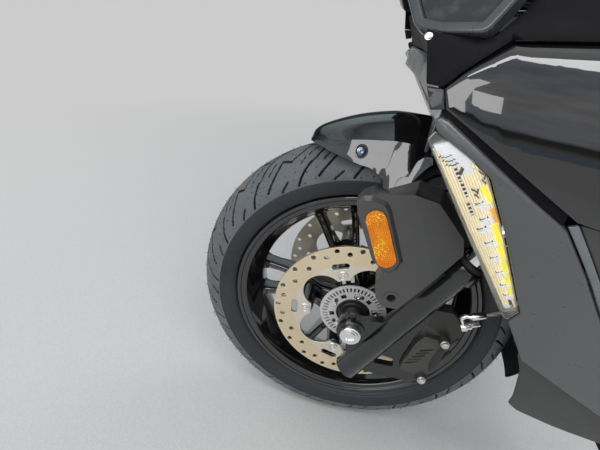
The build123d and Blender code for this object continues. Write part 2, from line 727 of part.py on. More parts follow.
def make_bezel():
    ring = extrude(headlamp_face, bezel_depth)
    return headlamp_plane.location * (ring - extrude(offset(headlamp_face, -bezel_width), bezel_depth))


def make_headlamp():
    lens = offset(headlamp_face, -bezel_width - seat_gap)
    return headlamp_plane.location * extrude(lens, lens_depth)


lamp_inset = 2.0


def make_running_lamp():
    lens = panel(lamp_outline, lamp_inset, lens_wall)
    body = skin_slab(lamp_inset + lens_wall, lamp_depth - lens_wall)
    return lens.fuse(body & through_skin(lamp_outline, lamp_back_inset))


headlamp_room = headlamp_plane.location * (Pos(0, 0, -60) * extrude(offset(headlamp_face, panel_seam), 160))
add_pair("running_lamp", make_running_lamp())
add_pair("side_panel", panel(side_outline))
add_both("trim_strips", panel(strip_outline, 0.5))
add_pair("rear_side_panel", panel(rear_outline, 1.0))
add_both("trim_channels", panel(channel_outline, panel_wall + seat_gap, 2.0))
add_pair("upper_panel", panel(upper_outline, -3.0, panel_wall + 1.0) - headlamp_room)
add_pair("belly_panel", panel(belly_outline, belly_inset))
add_both("end_caps", panel(cap_outline, -2.0, 6.0))
add_pair("shoulder_panel", panel(shoulder_outline, 4.0) - headlamp_room)
add_both("headlamp_bezels", make_bezel())
add_both("headlamps", make_headlamp())


leg_sweep_r = leg_y + collar_r + liner_gap


def tyre_reach(s):
    """How far behind the steering axis the tyre reaches, at a height along that axis."""
    return math.sqrt(tyre_r**2 - s**2) - axle_lead


def make_liner():
    """Wheel liner: turned about the steering axis, behind the steered wheel, within the side skins."""
    # columns: height along the steering axis, gap behind the tyre
    gaps = [(70, 12), (112, 18), (152, 22), (205, 33)]
    profile = [(max(tyre_reach(s) + gap, leg_sweep_r), s) for s, gap in gaps]
    profile += [(leg_sweep_r, 262), (leg_sweep_r, 330)]
    outer = [(r + liner_wall, s) for r, s in profile]
    face = Plane.XZ.location * make_face(Polyline(*profile, *reversed(outer), close=True))
    shell = Rot(0, 0, -liner_half_angle) * revolve(face, Axis.Z, revolution_arc=2 * liner_half_angle)
    # columns: half-width and height of the front view
    edge = [(55, -72), (74, -52), (146, 60), (200, 160), (215, 300)]
    edge = edge + [(-y, z) for y, z in reversed(edge)]
    front_view = Plane.YZ.location * extrude(make_face(Polyline(*edge, close=True)), apron_rear_x)
    return (fork * shell) & front_view & skin_core(belly_inset + panel_wall + seat_gap)


front_profile = [(-8, 443), (-46, 505), (-24, 560)]
front_cover_half_width = 182.0


def section_across(points, y):
    return side_plane(-y).location * make_face(Polyline(*points, close=True))


def across_loft(rows, wall):
    """A thin panel across the scooter: rows of half-width and a lower and an upper (x, z) edge."""
    sections = []
    for y, low, high in rows:
        points = [low, high, (high[0] + wall, high[1]), (low[0] + wall, low[1])]
        sections.append(section_across(points, y))
    return loft(sections, ruled=True)


def make_nose():
    rows = [(256, (3, 350), (7, 385)), (128, (22, 348), (27, 388)), (0, (28, 346), (34, 389))]
    rows = [(-y, low, high) for y, low, high in rows] + [row for row in reversed(rows[:-1])]
    return across_loft(rows, panel_wall)


def make_inner_panel():
    cover_x, cover_z = front_profile[0]
    top = (cover_x, cover_z - seat_gap)
    rows = [(250, (8, 386), (-12, 430)), (front_cover_half_width, (20, 388.4), top), (0, (34, 389.6), top)]
    rows = [(-y, low, high) for y, low, high in rows] + [row for row in reversed(rows[:-1])]
    return across_loft(rows, panel_wall)


add("wheel_liner", make_liner())
add("nose_panel", make_nose())
add("inner_panel", make_inner_panel())


def across_plate(profile, inset):
    """A bent plate across the scooter, trimmed to the space between the side skins."""
    below = [(x, z - panel_wall) for x, z in profile]
    slab = side_plate(profile + below[::-1], -skin_widest, skin_widest)
    return slab & skin_core(inset)


lid_inset = 4.0 + panel_wall + seat_gap
top_profile = [(-22, 563), (90, 588), (290, 574), (apron_rear_x + panel_wall, 545)]
bar_opening_r = 45.0        # room in the top cover for the handlebar's clamp
shield_x = apron_rear_x + seat_gap
shield_opening_width = 210.0
shield_opening_low = -20.0
shield_opening_high = 118.0
glovebox_width = 140.0
glovebox_height = 120.0
glovebox_y = 112.0
glovebox_z = 400.0
glovebox_corner_r = 14.0
glovebox_lid_thickness = 7.0
key_hole_r = 12.0
key_hole_z = 505.0


def make_front_cover():
    behind = [(x + panel_wall, z) for x, z in front_profile]
    half = front_cover_half_width
    cover = side_plate(front_profile + behind[::-1], -half, half) & skin_core(lid_inset)
    return cover - headlamp_room - mirror(headlamp_room, about=Plane.XZ)


def make_top_cover():
    cover = across_plate(top_profile, lid_inset)
    return cover - fork * along_axis(bar_opening_r, 0, head_top, stem_top)


def glovebox_lid(thickness, grow=0.0):
    """The left lid, a plate that stands across the scooter."""
    shape = RectangleRounded(glovebox_width + 2 * grow, glovebox_height + 2 * grow, glovebox_corner_r)
    plane = Plane(origin=(shield_x, -glovebox_y, glovebox_z), x_dir=(0, 1, 0), z_dir=(1, 0, 0))
    return plane.location * extrude(shape, thickness)


def make_leg_shield():
    shield_top = top_profile[-1][1] - panel_wall - seat_gap
    corners = [(shield_x, min(z for z, *rest in skin_rows)), (shield_x, shield_top)]
    behind = [(x + panel_wall, z) for x, z in corners]
    shield = side_plate(corners + behind[::-1], -skin_widest, skin_widest) & skin_core(0.0)
    middle_z = (shield_opening_low + shield_opening_high) / 2
    height = shield_opening_high - shield_opening_low
    shield -= Pos(shield_x, 0, middle_z) * Box(4 * panel_wall, shield_opening_width, height)
    room = glovebox_lid(panel_wall, seat_gap)
    key_plane = Plane(origin=(shield_x, 0, key_hole_z), z_dir=(1, 0, 0))
    shield -= key_plane.location * extrude(Circle(key_hole_r), panel_wall)
    return shield - room - mirror(room, about=Plane.XZ)


add("front_cover", make_front_cover())
add("top_cover", make_top_cover())
add("leg_shield", make_leg_shield())
add_both("glovebox_lids", glovebox_lid(glovebox_lid_thickness))


def hose_radii(route):
    radii = []
    for before, here, after in zip(route, route[1:], route[2:]):
        first = Vector(*here) - Vector(*before)
        second = Vector(*after) - Vector(*here)
        turn = math.radians(first.get_angle(second))
        radii.append(0.45 * min(first.length, second.length) / math.tan(turn / 2))
    return radii


def make_hose():
    radii = hose_radii(hose_route)
    path = FilletPolyline(*hose_route, radius=radii)
    hose = sweep(Plane(origin=path @ 0, z_dir=path % 0) * Circle(hose_r), path=path)
    share = hose.volume / (math.pi * hose_r**2 * path.length)
    print("hose radii", [round(r) for r in radii], "volume share", round(share, 3))
    return hose


add_both("brake_hoses", make_hose())


def make_junction():
    """Block under the yoke that the two hoses come up into."""
    low = yoke_bottom - seat_gap - junction_drop / 2
    return fork * (Pos(junction_p, 0, low) * Box(junction_depth, junction_width, junction_drop))


add("hose_junction", make_junction())


# Frame head, behind the apron
main_tube_bend_z = 300.0
main_tube_low_z = 110.0
tab_front_x = 300.0


def make_frame():
    tube = fork * along_axis(head_r, 0, head_bottom, head_top)
    start_x, start_z = fork_point(head_bottom + 0.6 * head_length)
    tube_y = main_tube_spacing / 2
    runs = []
    for side in (-1, 1):
        points = [(start_x, side * (head_r - 12.0), start_z), (main_tube_x, side * tube_y, main_tube_bend_z),
                  (main_tube_x, side * tube_y, main_tube_low_z), (plate_x - 5.0, side * tube_y, plate_z)]
        runs.append(tube_between(main_tube_r, *points))
    runs.append(tube_between(stay_r, (main_tube_x, -tube_y, liner_tab_z), (main_tube_x, tube_y, liner_tab_z)))
    tab = Pos((tab_front_x + main_tube_x) / 2, 0, liner_tab_z) * Box(
        main_tube_x - tab_front_x, liner_tab_width, liner_tab_thickness)
    runs.append(tab - fork * along_axis(leg_sweep_r + liner_wall + seat_gap, 0, slider_top, yoke_bottom))
    plate = Pos(plate_x - plate_thickness / 2, 0, plate_z) * Box(plate_thickness, plate_width, plate_height)
    # the stay that carries the front cover
    stay_x, stay_z = fork_point(head_top - 60.0)
    (low_x, low_z), (high_x, high_z) = front_profile[:2]
    share = (stay_z - stay_r - low_z) / (high_z - low_z)
    front = low_x + share * (high_x - low_x) + panel_wall + seat_gap
    runs.append(tube_between(stay_r, (stay_x, 0, stay_z), (front, 0, stay_z)))
    frame = tube.fuse(*runs, plate)
    for y in (-plate_hole_y / 2, plate_hole_y / 2):
        for z in (-plate_hole_z / 2, plate_hole_z / 2):
            hole = Plane(origin=(plate_x - plate_thickness, y, plate_z + z), z_dir=(1, 0, 0))
            frame -= hole.location * extrude(Circle(plate_hole_r), plate_thickness)
    frame -= fork * along_axis(stem_r + running_gap, 0, head_bottom, head_top)
    return frame - fork * along_axis(head_inner_r, 0, head_bottom + bearing_height, head_top - bearing_height)


add("frame_head", make_frame())

home = Pos(-plate_x, 0, -plate_z)
os.makedirs("parts", exist_ok=True)
for node, shape in parts.items():
    export_step(home * shape, f"parts/{node}.step")
    print(node, round(shape.volume), len(shape.solids()))
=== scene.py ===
import bpy
import math
import random
import numpy as np
from mathutils import Matrix, Vector
from mathutils.geometry import delaunay_2d_cdt


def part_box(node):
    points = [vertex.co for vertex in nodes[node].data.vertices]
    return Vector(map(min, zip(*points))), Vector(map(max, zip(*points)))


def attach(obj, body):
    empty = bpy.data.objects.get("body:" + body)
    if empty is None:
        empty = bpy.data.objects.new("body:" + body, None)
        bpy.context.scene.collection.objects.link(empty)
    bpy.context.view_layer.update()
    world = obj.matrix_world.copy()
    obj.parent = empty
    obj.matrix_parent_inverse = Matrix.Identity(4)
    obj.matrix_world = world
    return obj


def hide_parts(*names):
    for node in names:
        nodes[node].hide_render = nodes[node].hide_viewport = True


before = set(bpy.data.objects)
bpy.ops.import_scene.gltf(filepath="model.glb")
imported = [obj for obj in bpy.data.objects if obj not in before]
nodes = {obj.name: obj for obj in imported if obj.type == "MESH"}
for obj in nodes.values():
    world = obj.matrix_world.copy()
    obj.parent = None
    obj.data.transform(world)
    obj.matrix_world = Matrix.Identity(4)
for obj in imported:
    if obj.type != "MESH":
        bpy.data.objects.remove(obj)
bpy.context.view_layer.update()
random.seed(11)

# drawn in millimetres about the wheel's centre, as the scooter is measured
mm = 0.001
tyreLow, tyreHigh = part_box("tyre")
wheelCentre = (tyreLow + tyreHigh) / 2


# materials
def feed(tree, node, values):
    for key, value in values.items():
        if isinstance(value, bpy.types.NodeSocket):
            tree.links.new(value, node.inputs[key])
        else:
            node.inputs[key].default_value = value


def addNode(tree, kind, values=None, **settings):
    made = tree.nodes.new("ShaderNode" + kind)
    for key, value in settings.items():
        setattr(made, key, value)
    feed(tree, made, values or {})
    return made


def calc(tree, operation, first, second=0.0):
    return addNode(tree, "Math", {0: first, 1: second}, operation=operation).outputs[0]


def startMaterial(name):
    mat = bpy.data.materials.new(name)
    mat.use_nodes = True
    tree = mat.node_tree
    return mat, tree, tree.nodes["Principled BSDF"], addNode(tree, "TexCoord").outputs["Object"]


def noise(tree, place, scale, detail=3.0, rough=0.55):
    values = {"Vector": place, "Scale": scale, "Detail": detail, "Roughness": rough}
    return addNode(tree, "TexNoise", values).outputs["Fac"]


def remap(tree, value, low, high, outLow=0.0, outHigh=1.0):
    values = {"Value": value, "From Min": low, "From Max": high, "To Min": outLow, "To Max": outHigh}
    return addNode(tree, "MapRange", values).outputs["Result"]


def mixColor(tree, factor, first, second):
    made = addNode(tree, "Mix", data_type="RGBA")
    first, second = [c if isinstance(c, bpy.types.NodeSocket) else (*c, 1.0) for c in (first, second)]
    feed(tree, made, {0: factor, 6: first, 7: second})
    return made.outputs[2]


def bump(tree, height, strength, distance, normal=None):
    values = {"Height": height, "Strength": strength, "Distance": distance}
    if normal:
        values["Normal"] = normal
    return addNode(tree, "Bump", values).outputs["Normal"]


# parallel ridges: the sine of a weighted sum of the coordinates
def ridges(tree, parts, weights):
    total = None
    for axis, weight in weights.items():
        term = calc(tree, "MULTIPLY", parts.outputs[axis], weight)
        total = calc(tree, "ADD", total, term) if total else term
    return calc(tree, "SINE", total)


# what a finish has unless its own line below says otherwise
plainFinish = dict(roughSpread=0.08, metal=0.0, coat=0.0, coatRough=0.05, coatBend=1.5, specular=0.5, paintedGlow=0.0,
                   drift=0.25, driftScale=7.0, grain=0.1, grainScale=900.0, speckle=0.2, cells=0.0, cellStrength=0.25,
                   wear=0.25, wearColor=None, dust=0.12)
dustColor = (0.42, 0.39, 0.34)


# one recipe for paints, plastics and cast metal: colour drift, a moulded grain, scuffed roughness, dust on top faces
def makeFinish(name, look):
    mat, tree, shader, place = startMaterial(name)
    look = {**plainFinish, **look}
    color, rough, spread = look["color"], look["rough"], look["roughSpread"]
    drift = noise(tree, place, look["driftScale"], 4.0)
    lighter = [min(1.0, c * (1 + look["drift"]) + 0.002) for c in color]
    base = mixColor(tree, remap(tree, drift, 0.35, 0.65), color, lighter)
    speckle = noise(tree, place, look["grainScale"], 2.0)
    base = mixColor(tree, remap(tree, speckle, 0.35, 0.7, 0.0, look["speckle"]), base, [c * 1.7 + 0.004 for c in color])
    # worn edges
    edge = addNode(tree, "NewGeometry").outputs["Pointiness"]
    wearColor = look["wearColor"] or [c * 2.2 + 0.02 for c in color]
    base = mixColor(tree, remap(tree, edge, 0.52, 0.6, 0.0, look["wear"]), base, wearColor)
    # settled dust
    up = addNode(tree, "SeparateXYZ", {"Vector": addNode(tree, "NewGeometry").outputs["Normal"]}).outputs["Z"]
    patch = noise(tree, place, 28.0, 5.0, 0.7)
    dust = calc(tree, "MULTIPLY", remap(tree, up, 0.2, 1.0), remap(tree, patch, 0.4, 0.75, 0.0, look["dust"]))
    base = mixColor(tree, dust, base, dustColor)
    scuff = noise(tree, place, 45.0, 5.0, 0.65)
    normal = None
    if look["cells"]:
        cells = addNode(tree, "TexVoronoi", {"Vector": place, "Scale": look["cells"]}).outputs["Distance"]
        normal = bump(tree, cells, look["cellStrength"], 0.0004)
    # painted glow: the part gives off light in its own colour, standing in for light that falls on it
    if look["paintedGlow"]:
        feed(tree, shader, {"Emission Color": base, "Emission Strength": look["paintedGlow"]})
    roughness = calc(tree, "ADD", remap(tree, scuff, 0.3, 0.7, rough - spread, rough + spread), dust)
    feed(tree, shader, {
        "Base Color": base, "Roughness": roughness, "Metallic": look["metal"], "Specular IOR Level": look["specular"],
        "Coat Weight": look["coat"], "Coat Roughness": look["coatRough"], "Coat IOR": look["coatBend"],
        "Normal": bump(tree, speckle, look["grain"], 0.0003, normal)})
    return mat


finishes = {
    "glossBlack": dict(color=(0.004, 0.004, 0.005), rough=0.08, roughSpread=0.03, coat=1.0, coatRough=0.02,
                       coatBend=1.75, specular=0.1, grain=0.01, grainScale=240.0, speckle=0.05, dust=0.02, wear=0.05),
    "rimBlack": dict(color=(0.004, 0.004, 0.005), rough=0.16, coat=1.0, coatRough=0.03, coatBend=1.8, specular=0.1,
                     grain=0.02, grainScale=500.0, dust=0.02, wear=0.25, wearColor=(0.12, 0.12, 0.13)),
    "forkGrey": dict(color=(0.008, 0.0085, 0.009), rough=0.2, metal=0.2, coat=0.6, coatRough=0.12, coatBend=1.6,
                     grain=0.07, grainScale=700.0, dust=0.03),
    "castBlack": dict(color=(0.01, 0.01, 0.011), rough=0.34, coat=0.2, grain=0.3, grainScale=600.0, speckle=0.25),
    "caliperGrey": dict(color=(0.036, 0.035, 0.032), rough=0.42, metal=0.25, specular=0.35, grain=0.4, grainScale=520.0,
                        wear=0.5),
    "coverCharcoal": dict(color=(0.036, 0.036, 0.035), rough=0.42, specular=0.75, grain=0.14, cells=650.0,
                          cellStrength=0.15, dust=0.05),
    "plasticBlack": dict(color=(0.006, 0.006, 0.007), rough=0.5, specular=0.06, grain=0.15, cells=520.0,
                         cellStrength=0.2, dust=0.0, wear=0.15),
    "panelGrey": dict(color=(0.08, 0.083, 0.086), rough=0.33, metal=0.3, coat=0.3, coatRough=0.3, grain=0.05,
                      grainScale=1500.0, speckle=0.3, drift=0.08, dust=0.04),
    "panelDark": dict(color=(0.042, 0.042, 0.042), rough=0.5, cells=700.0, cellStrength=0.12, drift=0.12, dust=0.05),
    "noseGrey": dict(color=(0.045, 0.048, 0.052), rough=0.3, metal=0.3, coat=0.5, grain=0.05, grainScale=1300.0,
                     drift=0.1),
    "noseDark": dict(color=(0.02, 0.022, 0.024), rough=0.3, metal=0.1, coat=0.3, specular=0.3, grain=0.04, wear=0.3),
    "lampGrey": dict(color=(0.34, 0.35, 0.35), rough=0.35, drift=0.15),
    # the lamp's inner parts below carry a painted glow
    "lampLine": dict(color=(0.86, 0.66, 0.3), rough=0.4, paintedGlow=0.25),
    "lampCream": dict(color=(0.86, 0.83, 0.72), rough=0.4, paintedGlow=0.22, grain=0.15, grainScale=500.0, drift=0.1,
                      driftScale=40.0, speckle=0.1),
    "lampYellow": dict(color=(1.0, 0.86, 0.03), rough=0.35, paintedGlow=0.42, grain=0.08, drift=0.05),
    "lampAmber": dict(color=(0.95, 0.42, 0.03), rough=0.35, paintedGlow=0.3, grain=0.08),
    "lampSilver": dict(color=(0.8, 0.81, 0.83), rough=0.3, metal=0.35, paintedGlow=0.25, grain=0.05, drift=0.1),
    "lampDark": dict(color=(0.02, 0.02, 0.022), rough=0.4),
    # trim strip at the side panel's rear seam; its pale tone is partly a painted highlight along that edge
    "trimPaleHighlight": dict(color=(0.15, 0.165, 0.17), rough=0.34, metal=0.4, grain=0.05, drift=0.1),
    "zinc": dict(color=(0.62, 0.62, 0.6), rough=0.27, metal=1.0, grain=0.12, grainScale=420.0, wear=0.1),
    "boltSteel": dict(color=(0.2, 0.24, 0.32), rough=0.25, metal=1.0, grain=0.08, wear=0.2),
    "frameBlack": dict(color=(0.01, 0.01, 0.011), rough=0.35, coat=0.3),
    "rubberBlack": dict(color=(0.012, 0.012, 0.012), rough=0.68, grain=0.3, dust=0.2),
    "chrome": dict(color=(0.72, 0.72, 0.74), rough=0.07, roughSpread=0.03, metal=1.0, grain=0.01, wear=0.0),
    "ringSteel": dict(color=(0.5, 0.5, 0.49), rough=0.55, metal=0.3, grain=0.06, wear=0.0),
    "brightSteel": dict(color=(0.75, 0.75, 0.74), rough=0.24, metal=1.0, grain=0.06, wear=0.0),
}
rubbers = {
    "treadRubber": dict(color=(0.085, 0.088, 0.09), bloom=(0.15, 0.152, 0.15), skyReflectionBlue=(0.1, 0.115, 0.135), skyReflectionShare=0.7,
                        patchScale=22.0, speckle=0.35, rough=0.66, grain=0.45),
    "wallRubber": dict(color=(0.018, 0.02, 0.023), bloom=(0.031, 0.034, 0.038), skyReflectionBlue=(0.03, 0.035, 0.042),
                       skyReflectionShare=0.5, patchScale=8.0, speckle=0.12, rough=0.5, grain=0.12),
    # darker rubber for the faces down in the grooves: painted shade inside the tread grooves
    "grooveShadeRubber": dict(color=(0.008, 0.009, 0.01), bloom=(0.014, 0.015, 0.016), skyReflectionBlue=(0.01, 0.011, 0.013),
                         skyReflectionShare=0.3, patchScale=30.0, speckle=0.1, rough=0.7, grain=0.2),
}


# rubber: a grey bloom that comes and goes, fine pores, a painted bluish reflection of the sky in random patches
def makeRubber(name, look):
    mat, tree, shader, place = startMaterial(name)
    patch = noise(tree, place, look["patchScale"], 6.0, 0.7)
    fine = noise(tree, place, 520.0, 3.0, 0.75)
    base = mixColor(tree, remap(tree, patch, 0.36, 0.64), look["color"], look["bloom"])
    # painted reflection: a bluish sky tint mixed in over random patches
    skyReflectionPatch = noise(tree, place, 9.0, 3.0)
    base = mixColor(tree, remap(tree, skyReflectionPatch, 0.42, 0.62, 0.0, look["skyReflectionShare"]), base, look["skyReflectionBlue"])
    base = mixColor(tree, remap(tree, fine, 0.5, 0.75, 0.0, look["speckle"]), base, [c * 2.0 for c in look["bloom"]])
    base = mixColor(tree, remap(tree, fine, 0.25, 0.42, look["speckle"], 0.0), base, [c * 0.4 for c in look["color"]])
    roughness = remap(tree, patch, 0.3, 0.7, look["rough"] - 0.08, look["rough"] + 0.08)
    feed(tree, shader, {"Base Color": base, "Roughness": roughness, "Specular IOR Level": 0.4,
                        "Normal": bump(tree, fine, look["grain"], 0.0004)})
    return mat


# ground steel: circular grinding marks round the axle, a warmer swept band outside the bolts
def makeDiscSteel(name, color, bandColor):
    mat, tree, shader, place = startMaterial(name)
    local = addNode(tree, "Mapping", {"Vector": place, "Location": tuple(-wheelCentre)}).outputs["Vector"]
    parts = addNode(tree, "SeparateXYZ", {"Vector": local}).outputs
    x, y, z = [parts[axis] for axis in "XYZ"]
    polar = addNode(tree, "CombineXYZ", {"X": x, "Y": z}).outputs["Vector"]
    radius = addNode(tree, "VectorMath", {0: polar}, operation="LENGTH").outputs["Value"]
    turned = {"X": calc(tree, "MULTIPLY", radius, 2600.0),
              "Y": calc(tree, "MULTIPLY", calc(tree, "ARCTAN2", z, x), 1.3), "Z": y}
    streak = noise(tree, addNode(tree, "CombineXYZ", turned).outputs["Vector"], 1.0, 4.0, 0.7)
    base = mixColor(tree, remap(tree, radius, 0.0975, 0.099), color, bandColor)
    patch = noise(tree, place, 22.0, 5.0, 0.65)
    base = mixColor(tree, remap(tree, patch, 0.35, 0.7, 0.0, 0.35), base, [c * 0.8 for c in bandColor])
    base = mixColor(tree, remap(tree, streak, 0.4, 0.75, 0.0, 0.35), base, [c * 0.7 for c in color])
    feed(tree, shader, {"Base Color": base, "Metallic": 1.0, "Roughness": remap(tree, streak, 0.3, 0.7, 0.3, 0.46),
                        "Normal": bump(tree, streak, 0.12, 0.0003)})
    return mat


# moulded prism grid under a clear face
def makeReflector():
    mat, tree, shader, place = startMaterial("amberPrism")
    turned = addNode(tree, "Mapping", {"Vector": place, "Rotation": (0.0, math.radians(24), 0.0)}).outputs["Vector"]
    parts = addNode(tree, "SeparateXYZ", {"Vector": turned})
    ways = ((1.0, 0.0), (0.5, 0.866), (0.5, -0.866))
    first, second, third = [ridges(tree, parts, {"X": x * 2400.0, "Z": z * 2400.0}) for x, z in ways]
    prism = calc(tree, "MAXIMUM", calc(tree, "MAXIMUM", first, second), third)
    base = mixColor(tree, remap(tree, noise(tree, place, 38.0, 2.0), 0.35, 0.65), (0.7, 0.09, 0.0), (0.95, 0.23, 0.0))
    base = mixColor(tree, remap(tree, prism, 0.5, 1.0, 0.0, 0.7), base, (1.0, 0.4, 0.0))
    # painted glints: small bright yellow spots scattered over the amber
    glintSpots, where = noise(tree, place, 420.0, 1.0), noise(tree, place, 30.0, 1.0)
    glintSpots = calc(tree, "MULTIPLY", remap(tree, glintSpots, 0.56, 0.62), remap(tree, where, 0.56, 0.66))
    feed(tree, shader, {"Base Color": mixColor(tree, glintSpots, base, (1.0, 0.75, 0.05)), "Roughness": 0.32,
                        "Subsurface Weight": 0.1, "Subsurface Radius": (0.004, 0.002, 0.0005), "Coat Weight": 0.4,
                        "Coat Roughness": 0.05, "Specular IOR Level": 0.2, "Normal": bump(tree, prism, 0.5, 0.0006)})
    return mat


# thin clear moulding: see-through face on, mirror-like at a slant
def makeLens(name, tint):
    mat, tree, shader, place = startMaterial(name)
    haze = noise(tree, place, 70.0, 4.0)
    feed(tree, shader, {"Base Color": mixColor(tree, haze, (0.75, 0.77, 0.78), (0.85, 0.86, 0.87)),
                        "Roughness": remap(tree, haze, 0.3, 0.7, 0.02, 0.07)})
    slant = addNode(tree, "Fresnel", {"IOR": 1.45}).outputs[0]
    share = calc(tree, "ADD", remap(tree, slant, 0.0, 1.0, 0.03), remap(tree, haze, 0.5, 0.8, 0.0, 0.05))
    clear = addNode(tree, "BsdfTransparent", {"Color": (*tint, 1.0)}).outputs[0]
    mixed = addNode(tree, "MixShader", {0: share, 1: clear, 2: shader.outputs[0]}).outputs[0]
    tree.links.new(mixed, tree.nodes["Material Output"].inputs["Surface"])
    return mat


# steel braid under a clear sleeve: two sets of strands across each other
def makeBraid():
    mat, tree, shader, place = startMaterial("steelBraid")
    parts = addNode(tree, "SeparateXYZ", {"Vector": place})
    strands = [ridges(tree, parts, {"Z": 2600.0, "Y": side * 2600.0, "X": 1800.0}) for side in (1.0, -1.0)]
    weave = calc(tree, "MULTIPLY", *strands)
    base = mixColor(tree, remap(tree, weave, -0.6, 0.8), (0.09, 0.09, 0.09), (0.62, 0.61, 0.58))
    feed(tree, shader, {"Base Color": base, "Metallic": 0.9, "Roughness": 0.34, "Coat Weight": 0.5,
                        "Normal": bump(tree, weave, 0.5, 0.0005)})
    return mat


paint = {name: makeFinish(name, look) for name, look in finishes.items()}
paint.update({name: makeRubber(name, look) for name, look in rubbers.items()})
# the same ground steel for both discs; the far disc's darker copy is painted shade
paint["discLit"] = makeDiscSteel("discLit", (0.92, 0.87, 0.76), (0.95, 0.8, 0.55))
paint["discShaded"] = makeDiscSteel("discShaded", (0.5, 0.47, 0.42), (0.62, 0.57, 0.47))
paint["amber"] = makeReflector()
paint["clearLens"] = makeLens("clearLens", (0.97, 0.98, 0.98))
paint["smokeLens"] = makeLens("smokeLens", (0.1, 0.11, 0.12))
paint["braid"] = makeBraid()
print("materials", len(paint))


# mesh helpers
def newShape():
    return {"points": [], "faces": [], "mats": []}


def addTo(shape, points, faces, mat=0):
    start = len(shape["points"])
    shape["points"] += [tuple(p) for p in points]
    shape["faces"] += [tuple(i + start for i in face) for face in faces]
    shape["mats"] += mat if isinstance(mat, list) else [mat] * len(faces)


def roundEdges(obj, width, limit, segments=2):
    edge = obj.modifiers.new("edge", "BEVEL")
    edge.width = width * mm
    edge.segments = segments
    edge.limit_method = "ANGLE"
    edge.angle_limit = math.radians(limit)
    edge.harden_normals = True


def makePiece(name, shape, body, mats, replaces=(), sharp=40.0, bevel=0.0):
    points = np.array(shape["points"], float) * mm + np.array(wheelCentre)
    mesh = bpy.data.meshes.new(name)
    mesh.from_pydata(points.tolist(), [], shape["faces"])
    for mat in mats:
        mesh.materials.append(paint[mat])
    mesh.polygons.foreach_set("material_index", shape["mats"])
    mesh.update()
    mesh.shade_smooth()
    mesh.set_sharp_from_angle(angle=math.radians(sharp))
    obj = bpy.data.objects.new(name, mesh)
    bpy.context.scene.collection.objects.link(obj)
    if bevel:
        roundEdges(obj, bevel, sharp)
    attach(obj, body)
    if replaces:
        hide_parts(*replaces)


# CAD pieces that keep their shape get small rounded edges and a finish
def dress(node, mat, edge=0.6, limit=32.0, segments=2):
    obj = nodes[node]
    obj.data.materials.clear()
    obj.data.materials.append(paint[mat])
    obj.modifiers.new("weld", "WELD").merge_threshold = 0.00002
    if edge:
        roundEdges(obj, edge, limit, segments)


def mirrorShape(shape):
    return {"points": [(x, -y, z) for x, y, z in shape["points"]],
            "faces": flipped(shape["faces"]), "mats": list(shape["mats"])}


# faces between rows of points that each run round in a closed loop
def loopFaces(rows, count, inward=False):
    faces = []
    for i in range(0, (rows - 1) * count, count):
        for k in range(count):
            n = (k + 1) % count
            face = (i + k, i + n, i + count + n, i + count + k)
            faces.append((face[0], face[3], face[2], face[1]) if inward else face)
    return faces


def flipped(faces):
    return [face[::-1] for face in faces]


# a stack of rings about local z, closed at its ends or open; a radius may depend on the angle
def rings(levels, segments=32, closed=True):
    points = []
    for height, radius in levels:
        for k in range(segments):
            turn = 2 * math.pi * k / segments
            r = radius(turn) if callable(radius) else radius
            points.append((r * math.cos(turn), r * math.sin(turn), height))
    faces = loopFaces(len(levels), segments)
    if closed:
        faces.append(tuple(range(segments - 1, -1, -1)))
        faces.append(tuple((len(levels) - 1) * segments + k for k in range(segments)))
    return points, faces


def setOn(points, origin, axis, twist=0.0):
    turn = Vector((0, 0, 1)).rotation_difference(Vector(axis)).to_matrix()
    turn = turn @ Matrix.Rotation(math.radians(twist), 3, "Z")
    return [turn @ Vector(p) + Vector(origin) for p in points]


def addRings(shape, levels, origin, axis, segments=32, closed=True, twist=0.0, mat=0):
    points, faces = rings(levels, segments, closed)
    addTo(shape, setOn(points, origin, axis, twist), faces, mat)


def star(radius, depth=0.13):
    return lambda turn: radius * (1 + depth * math.cos(6 * turn))


def hexagon(radius):
    return lambda turn: radius / max(math.cos((turn % (math.pi / 3)) - math.pi / 6), 0.5)


# round-headed bolt with a six-lobe socket, seated at height 0
def addBolt(shape, origin, axis, radius, height, flange=0.0, twist=0.0):
    levels = [(0.0, radius * 0.97)]
    if flange:
        levels = [(0.0, radius + flange), (height * 0.22, radius + flange), (height * 0.3, radius + flange * 0.6),
                  (height * 0.32, radius * 0.97)]
    levels += [(height * 0.72, radius), (height * 0.92, radius * 0.93), (height, radius * 0.8),
               (height, star(radius * 0.5)), (height * 0.5, star(radius * 0.47)), (height * 0.42, radius * 0.2)]
    addRings(shape, levels, origin, axis, 48, twist=twist)


def catmull(rows, where):
    rows = np.array(rows, float)
    keys = rows[:, 0]
    slopes = np.zeros_like(rows)
    secants = np.diff(rows, axis=0) / np.diff(keys)[:, None]
    for i in range(1, len(rows) - 1):
        a, b = secants[i - 1], secants[i]
        slopes[i] = np.where(a * b > 0, 2 * a * b / np.where(np.abs(a + b) > 1e-9, a + b, 1.0), 0.0)
    slopes[0], slopes[-1] = secants[0], secants[-1]
    i = min(int(np.searchsorted(keys, where, "right")) - 1, len(keys) - 2)
    h = keys[i + 1] - keys[i]
    t = (where - keys[i]) / h
    return (rows[i] * (2 * t**3 - 3 * t**2 + 1) + slopes[i] * h * (t**3 - 2 * t**2 + t)
            + rows[i + 1] * (3 * t**2 - 2 * t**3) + slopes[i + 1] * h * (t**3 - t**2))


def circleThrough(a, b, c):
    (ax, ay), (bx, by), (cx, cy) = a, b, c
    d = 2 * (ax * (by - cy) + bx * (cy - ay) + cx * (ay - by))
    ux = ((ax**2 + ay**2) * (by - cy) + (bx**2 + by**2) * (cy - ay) + (cx**2 + cy**2) * (ay - by)) / d
    uy = ((ax**2 + ay**2) * (cx - bx) + (bx**2 + by**2) * (ax - cx) + (cx**2 + cy**2) * (bx - ax)) / d
    return ux, uy, math.hypot(ax - ux, ay - uy)


def onWheel(radius, degrees, y):
    turn = math.radians(degrees)
    return Vector((-radius * math.cos(turn), y, radius * math.sin(turn)))


